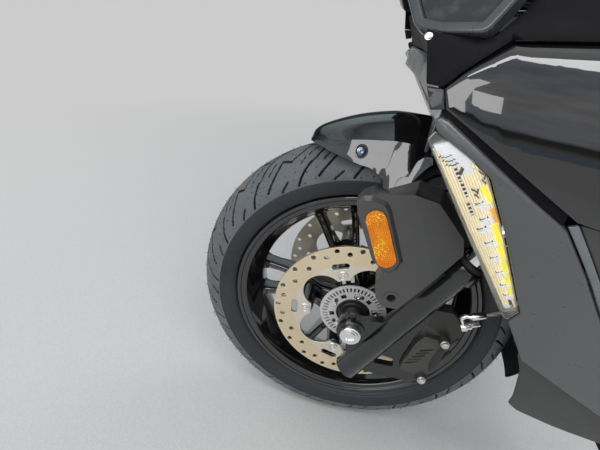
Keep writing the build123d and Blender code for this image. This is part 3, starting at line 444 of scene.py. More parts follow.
# the tyre's left section runs from the crown over the shoulder and the widest point to the bead
tyre = {"crownR": 73.985, "crownCentre": 200.515, "shoulder": (55.0, 250.0), "widest": (60.0, 236.2),
        "foot": (53.0, 207.0), "treadEdge": 80.0, "pitch": 20.0, "columns": 1440, "rows": 66, "grooveEase": 0.8,
        "pitRadius": 1.9, "pitEase": 0.7, "pitDepth": 1.4, "ridges": ((229.5, 0.4), (213.0, 0.5), (209.5, 0.7)),
        "bead": ((47.0, 205.3), (44.3, 205.0), (44.3, 191.0)),
        "hairRows": ((4, 46), (22, 60), (38, 60), (54, 80), (66, 50), (78, 60)), "hairLength": (1.8, 4.4),
        "standing": (4.3, 5.1)}
# one pitch of the pattern on the left: degrees up from straight ahead, millimetres from the middle line
grooves = (
    {"width": 3.1, "depth": 4.6, "line": [(58.8, -10), (54.8, 0), (50.9, 9), (48.6, 22), (46.3, 36), (43.1, 50),
                                          (41.3, 60), (38.6, 76)]},
    {"width": 2.8, "depth": 4.6, "line": [(64.4, 1), (60.7, 21), (57.5, 34)]},
    {"width": 3.4, "depth": 4.6, "line": [(57.5, 34), (54.5, 26.5)]},
    {"width": 2.8, "depth": 4.6, "line": [(54.5, 26.5), (52.6, 40), (50.2, 53), (46.6, 69)]},
    {"width": 2.0, "depth": 2.6, "line": [(66.6, 13.5), (63.4, 29)]},
    {"width": 1.7, "depth": 2.0, "line": [(62.6, 31.5), (60.8, 43)]},
    {"width": 2.3, "depth": 3.0, "line": [(51.9, 24), (48.6, 43.5)]},
    {"width": 2.6, "depth": 3.0, "line": [(55.0, 66.5), (51.6, 77.5)]},
    {"width": 2.6, "depth": 1.8, "line": [(58.0, 12.5), (57.1, 16)]},
)
pits = ((58.4, 54.2), (46.0, 54.8), (60.4, 12.8), (61.8, 24.0), (57.1, 29.9), (46.8, 40.5), (45.2, 71.8), (41.0, 75.8),
        (62.4, 59.6))


# the section with the shoulder's bend eased: distance along the surface, y, radius and the outward direction
def tyreSection():
    bend = math.asin(tyre["shoulder"][0] / tyre["crownR"])
    turns = [bend * k / 130 for k in range(131)]
    crown = [(tyre["crownR"] * math.sin(turn), tyre["crownCentre"] + tyre["crownR"] * math.cos(turn)) for turn in turns]
    (ax, ay), (cx, cy) = tyre["shoulder"], tyre["foot"]
    ux, uy, r = circleThrough(tyre["shoulder"], tyre["widest"], tyre["foot"])
    start, end = math.atan2(ay - uy, ax - ux), math.atan2(cy - uy, cx - ux)
    turns = [start + (end - start) * i / 90 for i in range(1, 91)]
    line = np.array(crown + [(ux + r * math.cos(turn), uy + r * math.sin(turn)) for turn in turns])
    run = np.concatenate([[0], np.cumsum(np.hypot(*np.diff(line, axis=0).T))])
    even = np.arange(0.0, run[-1], 0.5)
    kernel = np.hanning(23) / np.hanning(23).sum()
    eased = [np.pad(np.interp(even, run, values), 11, mode="reflect", reflect_type="odd") for values in line.T]
    eased = np.array([np.convolve(values, kernel, "valid") for values in eased])
    tangent = np.gradient(eased, axis=1)
    tangent /= np.hypot(*tangent)
    return even, *eased, -tangent[1], tangent[0]


section = tyreSection()


def onSection(across):
    return [np.interp(across, section[0], values) for values in section[1:]]


def grooveDepth(turn, across, radius):
    pitch, ease = tyre["pitch"], tyre["grooveEase"]
    mean = radius * math.pi / 180
    depth = np.zeros_like(turn)
    for groove in grooves:
        for (a0, t0), (a1, t1) in zip(groove["line"], groove["line"][1:]):
            middle = (a0 + a1) / 2
            px, py = ((turn - middle + pitch / 2) % pitch - pitch / 2 + middle - a0) * mean, across - t0
            dx, dy = (a1 - a0) * mean, t1 - t0
            share = np.clip((px * dx + py * dy) / (dx * dx + dy * dy), 0, 1)
            away = np.hypot(px - share * dx, py - share * dy)
            fall = np.clip((groove["width"] / 2 + ease / 2 - away) / ease, 0, 1)
            depth = np.maximum(depth, groove["depth"] * fall * fall * (3 - 2 * fall))
    for angle, away in pits:
        px = ((turn - angle + pitch / 2) % pitch - pitch / 2) * mean
        fall = np.clip((tyre["pitRadius"] - np.hypot(px, across - away)) / tyre["pitEase"], 0, 1)
        depth = np.maximum(depth, tyre["pitDepth"] * fall)
    return depth


# one half of the tread; its columns lean with the longest groove
def makeTread(side):
    rows, columns = tyre["rows"], tyre["columns"]
    across = np.linspace(0.0, tyre["treadEdge"], rows + 1)
    lead = grooves[0]["line"]
    sweep = np.interp(across, [t for a, t in lead], [a for a, t in lead])
    turn = (np.arange(columns) * 360.0 / columns)[None, :] + sweep[:, None]
    wide = np.repeat(across[:, None], columns, axis=1)
    y, r, outY, outR = [v[:, None] for v in onSection(across)]
    half = tyre["pitch"] / 2 if side > 0 else 0.0
    depth = np.maximum(grooveDepth(turn + half, wide, r), grooveDepth(turn + tyre["pitch"] / 2 - half, -wide, r))
    y, r = y - outY * depth, r - outR * depth
    angle = np.radians(turn)
    points = np.stack([-r * np.cos(angle), side * y, r * np.sin(angle)], axis=-1).reshape(-1, 3)
    faces = loopFaces(rows + 1, columns)
    # faces sunk more than a millimetre on average take the darker rubber: painted shade in the grooves
    ahead = np.roll(depth, -1, axis=1)
    grooveShadeFaces = depth[:-1] + ahead[:-1] + ahead[1:] + depth[1:] > 4.0
    return {"points": points, "faces": faces if side < 0 else flipped(faces), "mats": grooveShadeFaces.astype(int).ravel().tolist()}


# a closed band turned about the axle from (y, r) points
def turnedBand(profile, columns=300):
    turns = [2 * math.pi * k / columns for k in range(columns)]
    points = [(-r * math.cos(turn), y, r * math.sin(turn)) for y, r in profile for turn in turns]
    return points, loopFaces(len(profile), columns)


def makeSidewalls():
    shape = newShape()
    across = np.concatenate([[tyre["treadEdge"] - 0.3], np.linspace(tyre["treadEdge"], section[0][-1], 60)])
    y, r, outY, outR = onSection(across)
    lift = np.full_like(across, -0.7)
    lift[0] = 0.0
    for ridge, high in tyre["ridges"]:
        lift += high * np.clip(1 - np.abs(r - ridge) / 1.2, 0, 1)
    profile = [*zip(y + outY * lift, r + outR * lift), *tyre["bead"]]
    for side in (-1, 1):
        points, faces = turnedBand([(side * y, r) for y, r in profile])
        addTo(shape, points, flipped(faces) if side < 0 else faces)
    return shape


# moulding hairs on the rubber, none where the tyre stands
def makeHairs():
    shape = newShape()
    bareFrom, bareTo = tyre["standing"]    # radians
    for side in (-1, 1):
        for across, count in tyre["hairRows"]:
            for k in range(count):
                turn = 2 * math.pi * (k + random.uniform(-0.35, 0.35)) / count
                if bareFrom < turn % (2 * math.pi) < bareTo or random.random() < 0.3:
                    continue
                y, r, outY, outR = onSection(across + random.uniform(-3, 3))
                out = Vector((-math.cos(turn) * outR, side * outY, math.sin(turn) * outR))
                foot = Vector((-math.cos(turn) * r, side * y, math.sin(turn) * r))
                length = random.uniform(*tyre["hairLength"])
                lean = Vector([random.uniform(-0.4, 0.4) for _ in range(3)])
                addRings(shape, [(0, 0.5), (length * 0.5, 0.4), (length, 0.2)], foot, (out + lean).normalized(), 5)
    return shape


makePiece("tyreTreadLeft", makeTread(-1), "wheel", ["treadRubber", "grooveShadeRubber"], ["tyre"], sharp=75)
makePiece("tyreTreadRight", makeTread(1), "wheel", ["treadRubber", "grooveShadeRubber"], ["tyre"], sharp=75)
makePiece("tyreSidewalls", makeSidewalls(), "wheel", ["wallRubber"], sharp=60)
makePiece("tyreHairs", makeHairs(), "wheel", ["rubberBlack"])
print("tyre done")

# cast wheel: the barrel by half-width and radius, one arm of a spoke pair by radius, lean, width and depth
wheel = {
    "pairs": 5, "pairAngle": -4.5, "channelShare": 0.26, "channelDepth": 2.4, "boltCircle": 79.4,
    "rimOuter": ((53.0, 203.0), (52.2, 204.0), (46.4, 204.4), (44.9, 203.0), (44.5, 199.0), (44.5, 190.3),
                 (32.5, 190.3), (20.0, 176.0), (16.0, 173.0), (0.0, 173.0)),
    "rimUnder": ((53.0, 203.0), (53.0, 199.2), (52.8, 198.3), (52.3, 197.6), (51.6, 197.2), (50.8, 197.0),
                 (50.1, 196.5), (49.7, 195.6), (49.2, 190.6), (48.9, 189.2), (48.2, 188.1), (47.2, 187.4),
                 (46.0, 186.9), (44.6, 185.6), (36.5, 182.3), (22.0, 170.5), (18.0, 168.0), (0.0, 168.0)),
    "hub": ((-66.0, 17.0), (-66.0, 26.0), (-63.5, 27.0), (-63.5, 34.0), (-66.0, 35.0), (-66.0, 38.5), (-64.5, 40.0),
            (-50.0, 40.0), (-44.0, 34.0), (44.0, 34.0), (50.0, 40.0), (64.5, 40.0), (66.0, 38.5), (66.0, 35.0),
            (63.5, 34.0), (63.5, 27.0), (66.0, 26.0), (66.0, 17.0)),
    "arm": ((33.0, 9.0, 26.0, 96.0), (58.0, 10.5, 20.0, 78.0), (80.0, 15.0, 16.0, 50.0), (105.0, 20.5, 13.5, 36.0),
            (140.0, 26.5, 13.0, 29.0), (156.0, 29.0, 15.0, 30.0), (164.0, 30.5, 20.0, 34.0), (170.0, 31.5, 30.0, 42.0)),
    "web": ((36, -14), (36, 14), (96, 18), (84, 5), (84, -5), (96, -18)), "webHalf": 7.0,
    "stay": ((38, 3, 52.0), (38, 10, 52.0), (78, 13, 28.6), (78, 7, 28.6)),
    "boss": ((10.0, 18.0), (30.0, 15.0), (66.0, 12.5), (69.5, 12.5), (70.8, 11.4)),
}
wheelSpacing = 360 / wheel["pairs"]
boxFaces = [(0, 1, 2, 3), (7, 6, 5, 4), (0, 4, 5, 1), (1, 5, 6, 2), (2, 6, 7, 3), (3, 7, 4, 0)]


def makeRim():
    shape = newShape()
    for profile, inward in ((wheel["rimOuter"], False), (wheel["rimUnder"], True)):
        points, faces = turnedBand([*profile, *[(-y, r) for y, r in reversed(profile[:-1])]])
        addTo(shape, points, flipped(faces) if inward else faces)
    addRings(shape, wheel["hub"], (0, 0, 0), (0, 1, 0), 96, False)
    arm = np.array(wheel["arm"])
    rows = [[np.interp(radius, arm[:, 0], values) for values in arm.T]
            for radius in np.linspace(arm[0, 0], arm[-1, 0], 56)]
    corners = 28
    for k in range(wheel["pairs"]):
        turn = math.radians(180 - wheel["pairAngle"] - wheelSpacing * k)
        out, aside = Vector((math.cos(turn), 0, math.sin(turn))), Vector((-math.sin(turn), 0, math.cos(turn)))

        def placed(points):
            return [out * r + aside * w + Vector((0, y, 0)) for r, w, y in points]

        for side in (-1, 1):
            bar = []
            for radius, lean, width, depth in rows:
                # a rounded bar with a shallow channel down each broad face
                for j in range(corners):
                    angle = 2 * math.pi * j / corners
                    c, d = math.cos(angle), math.sin(angle)
                    y = math.copysign(abs(c) ** 0.45, c) * depth / 2
                    w = math.copysign(abs(d) ** 0.55, d) * width / 2
                    if abs(w) < width * wheel["channelShare"] and 60 < radius < 160:
                        y -= math.copysign(wheel["channelDepth"], y)
                    bar.append((radius, side * lean + w, y))
            addTo(shape, placed(bar), loopFaces(len(rows), corners, True))
        # web in the crotch of each pair, the bosses that carry the discs, and two stays beside the hub
        web = [(r, w, y) for y in (-wheel["webHalf"], wheel["webHalf"]) for r, w in wheel["web"]]
        sides = [(i, (i + 1) % 6, (i + 1) % 6 + 6, i + 6) for i in range(6)]
        addTo(shape, placed(web), [(0, 1, 2, 3, 4, 5), (11, 10, 9, 8, 7, 6), *sides])
        for side in (-1, 1):
            addRings(shape, wheel["boss"], out * wheel["boltCircle"], (0, side, 0), 40)
        for side in (-1, 1):
            stay = [(r, side * w, y * half) for y in (-1, 1) for r, w, half in wheel["stay"]]
            addTo(shape, placed(stay), boxFaces)
    return shape


# flat silver buttons hold the discs, small socket bolts the tone ring
wheelBolts = {
    "button": ((0.0, 8.0), (0.5, 8.0), (0.9, 7.6), (0.9, 6.6), (0.6, 6.3), (0.6, 3.4), (0.9, 3.1),
               (0.9, star(1.9, 0.1)), (-0.8, star(1.8, 0.1)), (-0.8, 0.6)),
    "buttonFace": 75.4, "ringCircle": 36.0, "ringAngle": 20.0, "ringFace": -68.4, "ringRadius": 5.2, "ringHeight": 3.6,
}


def makeWheelBolts():
    shape = newShape()
    for side in (-1, 1):
        for k in range(wheel["pairs"]):
            place = onWheel(wheel["boltCircle"], wheel["pairAngle"] + wheelSpacing * k, side * wheelBolts["buttonFace"])
            addRings(shape, wheelBolts["button"], place, (0, side, 0), 48, twist=17 * k)
    for k in range(wheel["pairs"]):
        place = onWheel(wheelBolts["ringCircle"], wheelBolts["ringAngle"] + wheelSpacing * k, wheelBolts["ringFace"])
        addBolt(shape, place, (0, -1, 0), wheelBolts["ringRadius"], wheelBolts["ringHeight"], twist=20 * k)
    return shape


# rubber lips of the hub's seals, five small plugs round the hub and the tyre's valve
hubDetail = {
    "seal": ((0.0, 26.5), (1.6, 26.0), (1.9, 24.5), (0.8, 23.9)), "sealFace": 66.0,
    "plug": ((0, 3.2), (1.0, 3.4), (5.0, 2.6), (7.0, 1.2)), "plugCircle": 36.5, "plugAngle": 31.5, "plugFace": -66.2,
    "valve": ((0, 5.5), (2, 5.5), (3, 4.2), (12, 3.8), (13, 3.0), (14, 3.4), (23, 3.4), (24, 2.6)), "valveAngle": 103.5,
    "valveFoot": 166.5, "valveSide": -4.0,
}


def makeHubDetail():
    shape = newShape()
    for side in (-1, 1):
        addRings(shape, hubDetail["seal"], (0, side * hubDetail["sealFace"], 0), (0, side, 0), 64, False)
    for k in range(wheel["pairs"]):
        place = onWheel(hubDetail["plugCircle"], hubDetail["plugAngle"] + wheelSpacing * k, hubDetail["plugFace"])
        addRings(shape, hubDetail["plug"], place, (0, -1, 0), 20)
    lean = (onWheel(1.0, hubDetail["valveAngle"], 0) * -1 + Vector((0, -0.5, 0))).normalized()
    foot = onWheel(hubDetail["valveFoot"], hubDetail["valveAngle"], hubDetail["valveSide"])
    addRings(shape, hubDetail["valve"], foot, lean, 24)
    return shape


dress("disc_left", "discLit", 0.35)
dress("disc_right", "discShaded", 0.35)
dress("tone_ring", "ringSteel", 0.2)
makePiece("castRim", makeRim(), "wheel", ["rimBlack"], ["rim"], sharp=50, bevel=0.5)
makePiece("wheelBolts", makeWheelBolts(), "wheel", ["zinc"])
makePiece("hubSealsAndValve", makeHubDetail(), "wheel", ["rubberBlack"])
print("wheel done")

# stepped steel heads on the axle's ends, a socket in each
axleHead = {"levels": ((-2.0, 16.2), (0.4, 16.2), (1.2, 15.4), (1.2, 13.0), (2.2, 12.4), (2.2, 9.6), (3.6, 9.0),
                       (3.6, 6.6), (0.6, hexagon(5.58)), (0.6, 0.5)),
            "face": 124.2}


def makeAxleHeads():
    shape = newShape()
    for side in (-1, 1):
        addRings(shape, axleHead["levels"], (0, side * axleHead["face"], 0), (0, side, 0), 60, twist=12)
    return shape


# silver screws with black boots on the calipers' sliding pins
caliperScrew = {"places": ((128, -60), (140, 23)), "face": 118.0,
                "boot": ((110.0, 9.0), (114.5, 9.0), (116.0, 8.2), (117.6, 8.0), (118.0, 7.0)),
                "radius": 5.6, "height": 4.6, "flange": 1.0}


def makeCaliperScrews():
    shape = newShape()
    for side in (-1, 1):
        for x, z in caliperScrew["places"]:
            addRings(shape, caliperScrew["boot"], (x, 0, z), (0, side, 0), 36, mat=1)
            place = (x, side * caliperScrew["face"], z)
            addBolt(shape, place, (0, side, 0), caliperScrew["radius"], caliperScrew["height"], caliperScrew["flange"])
    return shape


# one screw through each upper panel
panelScrew = {"place": (-19.3, 253.4, 440.6), "axis": (-0.2, 0.88, 0.43), "radius": 2.5, "height": 2.0, "flange": 0.8}


def makePanelScrews():
    shape = newShape()
    (x, y, z), (axisX, axisY, axisZ) = panelScrew["place"], panelScrew["axis"]
    for side in (-1, 1):
        place, axis = (x, side * y, z), (axisX, side * axisY, axisZ)
        addBolt(shape, place, axis, panelScrew["radius"], panelScrew["height"], panelScrew["flange"])
    return shape


for side in ("left", "right"):
    dress("slider_" + side, "forkGrey", 1.6, 30.0, 3)
    dress("caliper_" + side, "caliperGrey", 0.9, 30.0)
    dress("fork_cover_" + side, "coverCharcoal", 2.2, 30.0, 4)
dress("reflectors", "amber", 1.5, 30.0, 3)
for node, mat, edge in (
    ("axle", "zinc", 1.0), ("axle_spacers", "castBlack", 0.8), ("stanchions", "chrome", 0.4),
    ("dust_seals", "rubberBlack", 0.8), ("lower_yoke", "castBlack", 2.0), ("steering_stem", "zinc", 0.8),
    ("mudguard_brackets", "frameBlack", 0.5), ("brake_hoses", "braid", 0.0), ("hose_junction", "castBlack", 1.5),
    ("hose_fittings", "brightSteel", 0.8),
):
    dress(node, mat, edge)
makePiece("axleHeads", makeAxleHeads(), "fork", ["brightSteel"])
makePiece("caliperScrews", makeCaliperScrews(), "fork", ["zinc", "rubberBlack"])
makePiece("panelScrews", makePanelScrews(), "frame", ["zinc"])
print("fork done")

# mudguard rows: degrees up from straight ahead, ridge height above the tyre, half-width and height of the crease,
# then of the edge
mudguard = {
    "rows": (
        (64.9, 14.5, 15.0, 12.5, 16.5, 11.8), (66.2, 21.5, 20.0, 13.3, 27.0, 10.0), (68.5, 26.5, 28.5, 13.8, 39.0, 6.0),
        (71.0, 29.0, 38.0, 14.0, 50.0, 0.6), (75.5, 33.0, 50.0, 15.2, 64.0, -6.4),
        (80.0, 37.0, 58.0, 17.4, 73.0, -12.4), (83.5, 40.0, 62.0, 19.2, 78.5, -14.8),
        (86.0, 42.3, 64.5, 20.8, 83.0, -21.0), (89.0, 45.0, 66.5, 23.0, 91.0, -37.5),
        (95.0, 47.5, 69.0, 25.2, 89.0, -24.5), (100.0, 50.5, 68.0, 27.0, 84.0, 12.5),
        (125.0, 36.5, 65.0, 20.0, 72.0, 9.5), (150.0, 26.5, 62.0, 12.5, 66.0, 4.5)),
    "spans": ((64.9, 100.0, 120), (100.0, 150.0, 60)), "tyreRadius": 274.5, "wall": 3.0, "hollow": 1.2, "topPoints": 17,
    "skirtPoints": 25,
}
mudguardBolt = {"angle": 80.4, "share": 0.46, "pocket": 8.6, "pocketEase": 3.6, "depth": 2.4, "radius": 4.7,
                "height": 2.6, "flange": 1.2}


def overTyre(angle, y, height):
    return onWheel(mudguard["tyreRadius"] + height, angle, y)


# outer half-section at one angle, from the ridge over the crease to the lower edge
def mudguardHalf(angle):
    ridge, creaseY, crease, edgeY, edge = catmull(mudguard["rows"], angle)[1:]
    half = [(creaseY * s, ridge + (crease - ridge) * s**2.0) for s in np.linspace(0.0, 1.0, mudguard["topPoints"])]
    for s in np.linspace(0.0, 1.0, mudguard["skirtPoints"])[1:]:
        hollow = mudguard["hollow"] * math.sin(math.pi * s) * min(1.0, abs(edge - crease) / 20)
        half.append((creaseY + (edgeY - creaseY) * s - hollow, crease + (edge - crease) * s))
    return half


def makeMudguard():
    wall, top = mudguard["wall"], mudguard["topPoints"]
    creaseY, crease, edgeY, edge = catmull(mudguard["rows"], mudguardBolt["angle"])[2:]
    share = mudguardBolt["share"]
    boltAt = overTyre(mudguardBolt["angle"], -(creaseY + (edgeY - creaseY) * share), crease + (edge - crease) * share)
    points = []
    front, rest = [np.linspace(*span) for span in mudguard["spans"]]
    angles = np.concatenate([front, rest[1:]])
    for angle in angles:
        half = mudguardHalf(angle)
        edgeY = half[-1][0]
        outer = [(-y, z) for y, z in reversed(half[1:])] + half
        inner = [(y * (1 - wall / max(edgeY, 20)), z - (wall if i < top else 0.0)) for i, (y, z) in enumerate(half)]
        inner = [(y, z) for y, z in reversed(inner)] + [(-y, z) for y, z in inner[1:]]
        loop = [overTyre(angle, y, z) for y, z in outer + inner]
        # a round pocket sunk for the bolt on each side of the skirt
        for i, (y, z) in enumerate(outer):
            p = loop[i]
            away = (Vector((p.x, -abs(p.y), p.z)) - boltAt).length
            sink = max(0.0, min(1.0, (mudguardBolt["pocket"] - away) / mudguardBolt["pocketEase"]))
            sink *= mudguardBolt["depth"]
            if sink > 0 and abs(y) > half[top - 1][0] + 0.5:
                loop[i] = p + Vector((0, math.copysign(sink, -p.y), -0.35 * sink))
        points += loop
    count = len(loop)
    ends = [tuple(range(count)), tuple(reversed(range(len(points) - count, len(points))))]
    shape = newShape()
    addTo(shape, points, loopFaces(len(angles), count, True) + ends)
    return shape, boltAt


def makeMudguardBolts(boltAt):
    shape = newShape()
    for side in (-1, 1):
        place = Vector((boltAt.x, side * (abs(boltAt.y) - mudguardBolt["depth"]), boltAt.z - 1.0))
        addBolt(shape, place, (0, side, 0.3), mudguardBolt["radius"], mudguardBolt["height"], mudguardBolt["flange"])
    return shape


shape, boltAt = makeMudguard()
makePiece("mudguardShell", shape, "fork", ["glossBlack"], ["mudguard"], sharp=30, bevel=0.7)
makePiece("mudguardBolts", makeMudguardBolts(boltAt), "fork", ["boltSteel"])
print("mudguard done")

# apron skin: half-widths at three stations along, for each height
skin = {"stations": (-60.0, 160.0, 440.0),
        "rows": ((-80, 150, 195, 205), (0, 180, 225, 230), (100, 215, 250, 250), (200, 240, 267, 262),
                 (350, 268, 305, 285), (440, 248, 283, 255), (520, 190, 218, 195), (600, 90, 130, 115)),
        "gap": 0.3, "outlineStep": 5.0}


def naturalSpline(keys, values):
    keys, values = np.array(keys, float), np.array(values, float)
    n = len(keys)
    h = np.diff(keys)
    matrix, right = np.eye(n), np.zeros(n)
    for i in range(1, n - 1):
        matrix[i, i - 1], matrix[i, i], matrix[i, i + 1] = h[i - 1], 2 * (h[i - 1] + h[i]), h[i]
        right[i] = 6 * ((values[i + 1] - values[i]) / h[i] - (values[i] - values[i - 1]) / h[i - 1])
    second = np.linalg.solve(matrix, right)

    def value(where):
        i = min(max(int(np.searchsorted(keys, where, "right")) - 1, 0), n - 2)
        a, b = (keys[i + 1] - where) / h[i], (where - keys[i]) / h[i]
        return a * values[i] + b * values[i + 1] + ((a**3 - a) * second[i] + (b**3 - b) * second[i + 1]) * h[i] ** 2 / 6
    return value


skinCurves = [naturalSpline([row[0] for row in skin["rows"]], [row[1 + i] for row in skin["rows"]]) for i in range(3)]


# the left skin at one place of the side view: a circle through the three stations of its height
def skinY(x, z, inset=0.0):
    stations = list(zip(skin["stations"], [curve(z) for curve in skinCurves]))
    ux, uy, r = circleThrough(*stations)
    return inset - (uy + math.copysign(math.sqrt(max(r * r - (x - ux) ** 2, 0.0)), stations[1][1] - uy))


def signedArea(loop):
    return sum(p.x * q.y - q.x * p.y for p, q in zip(loop, loop[1:] + loop[:1])) / 2


# outline with its corners rounded and its edges cut to even steps, running one way round
def roundOutline(corners, radius):
    runs = []
    for i, corner in enumerate(corners):
        here = Vector(corner)
        a, b = Vector(corners[i - 1]) - here, Vector(corners[(i + 1) % len(corners)]) - here
        turn = math.pi - a.angle(b)
        reach = min(radius * math.tan(turn / 2), 0.45 * a.length, 0.45 * b.length)
        start, end = here + a.normalized() * reach, here + b.normalized() * reach
        pieces = max(2, int(math.degrees(turn) / 12) + 1)
        for k in range(pieces + 1):
            s = k / pieces
            runs.append(start * (1 - s) ** 2 + here * 2 * s * (1 - s) + end * s**2)
    loop = []
    for p, q in zip(runs, runs[1:] + runs[:1]):
        steps = max(1, int((q - p).length / skin["outlineStep"]))
        loop += [p + (q - p) * k / steps for k in range(steps) if (q - p).length > 1e-4]
    return loop if signedArea(loop) > 0 else loop[::-1]


def insetLoop(loop, distances):
    moved = []
    for i, p in enumerate(loop):
        a, b = (p - loop[i - 1]).normalized(), (loop[(i + 1) % len(loop)] - p).normalized()
        normal = Vector((-(a.y + b.y), a.x + b.x))
        length = normal.length
        normal = normal / length if length > 1e-6 else Vector((-a.y, a.x))
        moved.append(p + normal * distances[i] / max(0.6, length / 2))
    return moved


# triangles over a loop, with staggered points inside it
def fillLoop(loop, step):
    flat = np.array([(p.x, p.y) for p in loop])
    (lowX, lowY), (highX, highY) = flat.min(axis=0).tolist(), flat.max(axis=0).tolist()
    sides = list(zip(loop, loop[1:] + loop[:1]))
    inside = []
    row = 0
    y = lowY + step / 2
    while y < highY:
        x = lowX + (step / 2 if row % 2 else 0.0)
        while x < highX:
            crossed = sum((p.y > y) != (q.y > y) and x < (q.x - p.x) * (y - p.y) / (q.y - p.y) + p.x for p, q in sides)
            if crossed % 2 and np.min(np.hypot(flat[:, 0] - x, flat[:, 1] - y)) > step * 0.55:
                inside.append(Vector((x, y)))
            x += step
        y += step * 0.87
        row += 1
    made = delaunay_2d_cdt(loop + inside, [(i, (i + 1) % len(loop)) for i in range(len(loop))], [], 1, 1e-5)
    return [(v.x, v.y) for v in made[0]], [tuple(face) for face in made[2]]


# moulded panel over a side-view outline: walled edge, rounded rim, skin in between
def skinPanel(corners, surface, radius, edge, thick=3.0, step=12.0):
    loop = roundOutline(corners, radius)
    count = len(loop)
    loop = insetLoop(loop, [skin["gap"]] * count)
    edges = [edge(p.x, p.y) if callable(edge) else edge for p in loop]
    levels = [([0.0] * count, [thick] * count)]
    for degrees in (0, 18, 36, 54, 72, 90):
        turn = math.radians(degrees)
        levels.append(([e * (1 - math.cos(turn)) for e in edges], [e * (1 - math.sin(turn)) for e in edges]))
    points = []
    for inward, drop in levels:
        last = insetLoop(loop, inward)
        points += [(p.x, surface(p.x, p.y) + d, p.y) for p, d in zip(last, drop)]
    verts, triangles = fillLoop(last, step)
    start = len(points) - count
    points += [(x, surface(x, z), z) for x, z in verts[count:]]
    shape = newShape()
    addTo(shape, points, loopFaces(len(levels), count) + [tuple(start + i for i in face) for face in triangles])
    return shape


# joint lines in the side view, shared by the panels on both sides of them
rearX = 400.0
lampSeam = [(4, 376), (35, 361.5), (53.5, 350.5), (87.5, 296.5), (137, 213.5), (132, 197.5)]
bellySeam = [(168, 146), (277, 91), (rearX, 61)]
trimSeam = [(rearX, 76), (250, 181), (196, 240), (162, 281), (121, 327)]
stripSeam = [(128, 331), (167, 286), (200, 246), (254, 187), (rearX, 83)]
rearSeam = [(rearX, 268), (330, 285), (143, 331)]
capSeam = [(0, 408), (5, 394)]
shoulderSeam = [(12, 422), (27, 436), (40, 448), (99, 457), (rearX, 505)]


# the side panel rolls over along its upper front edge
def topEdgeWide(x, z):
    line = 390 - (x - 10) * 49 / 85 if x < 95 else 341 - (x - 95) * 14 / 26
    if z > line - 4 and x < 124:
        return 9.0
    return 5.0 if z > 150 and x > 120 and z > 400 - x * 0.9 else 2.0


# the upper panel rolls over towards the shoulder seam
def shoulderRoll(x, z):
    line = np.interp(x, *zip(*shoulderSeam))
    return 3.0 + 9.0 * min(1.0, max(0.0, (x - 10) / 40)) if z > line - 5 and x > 8 else 2.5


panels = (
    {"name": "sidePanel", "nodes": "side_panel", "mat": "panelGrey", "inset": 0.0, "edge": topEdgeWide, "radius": 6.0,
     "outline": [(-1, 386), *lampSeam, *bellySeam, *trimSeam, (95, 341), (10, 390)]},
    {"name": "rearSidePanel", "nodes": "rear_side_panel", "mat": "panelDark", "inset": 1.0, "edge": 2.0, "radius": 4.0,
     "outline": [*stripSeam, *rearSeam]},
    {"name": "upperPanel", "nodes": "upper_panel", "mat": "glossBlack", "inset": -3.0, "edge": shoulderRoll,
     "radius": 5.0, "outline": [*capSeam, (30, 382), (124, 333), *reversed(rearSeam), *reversed(shoulderSeam)]},
    {"name": "bellyPanel", "nodes": "belly_panel", "mat": "panelDark", "inset": 20.0, "edge": 2.5, "radius": 6.0,
     "outline": [(187, 109), (200, 60), (202, 42), (216, 32), (265, 19), (317, 9), (rearX, -8), *reversed(bellySeam)]},
)
for panel in panels:
    shape = skinPanel(panel["outline"], lambda x, z: skinY(x, z, panel["inset"]), panel["radius"], panel["edge"])
    for side, made in (("Left", shape), ("Right", mirrorShape(shape))):
        replaced = panel["nodes"] + "_" + side.lower()
        makePiece(panel["name"] + side, made, "frame", [panel["mat"]], [replaced], sharp=60)
print("side panels done")

for node, mat, edge in (
    ("shoulder_panel_left", "plasticBlack", 1.5), ("shoulder_panel_right", "plasticBlack", 1.5),
    ("trim_strips", "trimPaleHighlight", 1.0), ("trim_channels", "plasticBlack", 0.5), ("end_caps", "noseDark", 1.5),
    ("nose_panel", "noseDark", 1.0), ("inner_panel", "plasticBlack", 0.6), ("front_cover", "plasticBlack", 0.8),
    ("top_cover", "plasticBlack", 1.0), ("leg_shield", "plasticBlack", 1.0), ("glovebox_lids", "panelDark", 1.5),
    ("wheel_liner", "plasticBlack", 0.8), ("headlamp_bezels", "noseGrey", 2.5), ("headlamps", "smokeLens", 1.0),
    ("frame_head", "frameBlack", 0.8),
):
    dress(node, mat, edge)

# running lamps: places given down the front edge, across from it, and in from the lens
lamp = {
    "corners": [(-1, 367), *lampSeam, (125, 201)], "radius": 3.0, "inset": 2.0,
    "wide": ((-4.0, 9.4), (26.0, 25.4), (46.0, 33.4), (110.0, 27.9), (206.0, 17.1), (215.0, 3.5)),
    # the grey side wall grows towards the bottom
    "wall": ((0, 1.2), (44, 2.4), (83, 3.0), (127, 3.8), (189, 5.0), (210, 5.2)),
    "shell": ((0.9, 3.7), (1.2, 9.0), (4.5, 21.5)), "shellFloor": 23.5,
    "ribStep": 0.35, "ribPitch": 2.1, "ribStart": 0.8,
    "modules": ((70, 20.5, 11), (86, 19.5, 12), (95.5, 15, 13), (112.5, 16, 12), (131, 15, 11), (151, 14.5, 10),
                (169, 13.5, 9), (184, 12.5, 8)),
    "fins": (0.45, 0.8, 1.0, 0.85, 0.55), "frames": ((38, 12.0), (53, 12.3), (72, 11.0)),
    "wires": ((42, 29, 30), (46, 30.5, -35), (50, 28.5, 25), (55, 19, 40), (57, 21.5, -30), (61, 19.5, 30)),
}
lampMats = ["lampCream", "lampGrey", "lampYellow", "lampAmber", "lampSilver", "lampDark", "lampLine"]
cream, grey, yellow, amber, silver, dark, lines = range(len(lampMats))


def lampPoint(along, across, depth):
    x = -1 + 0.6046 * along + 0.7965 * across
    z = 367 - 0.7965 * along + 0.6046 * across
    return Vector((x, skinY(x, z, lamp["inset"] + depth), z))


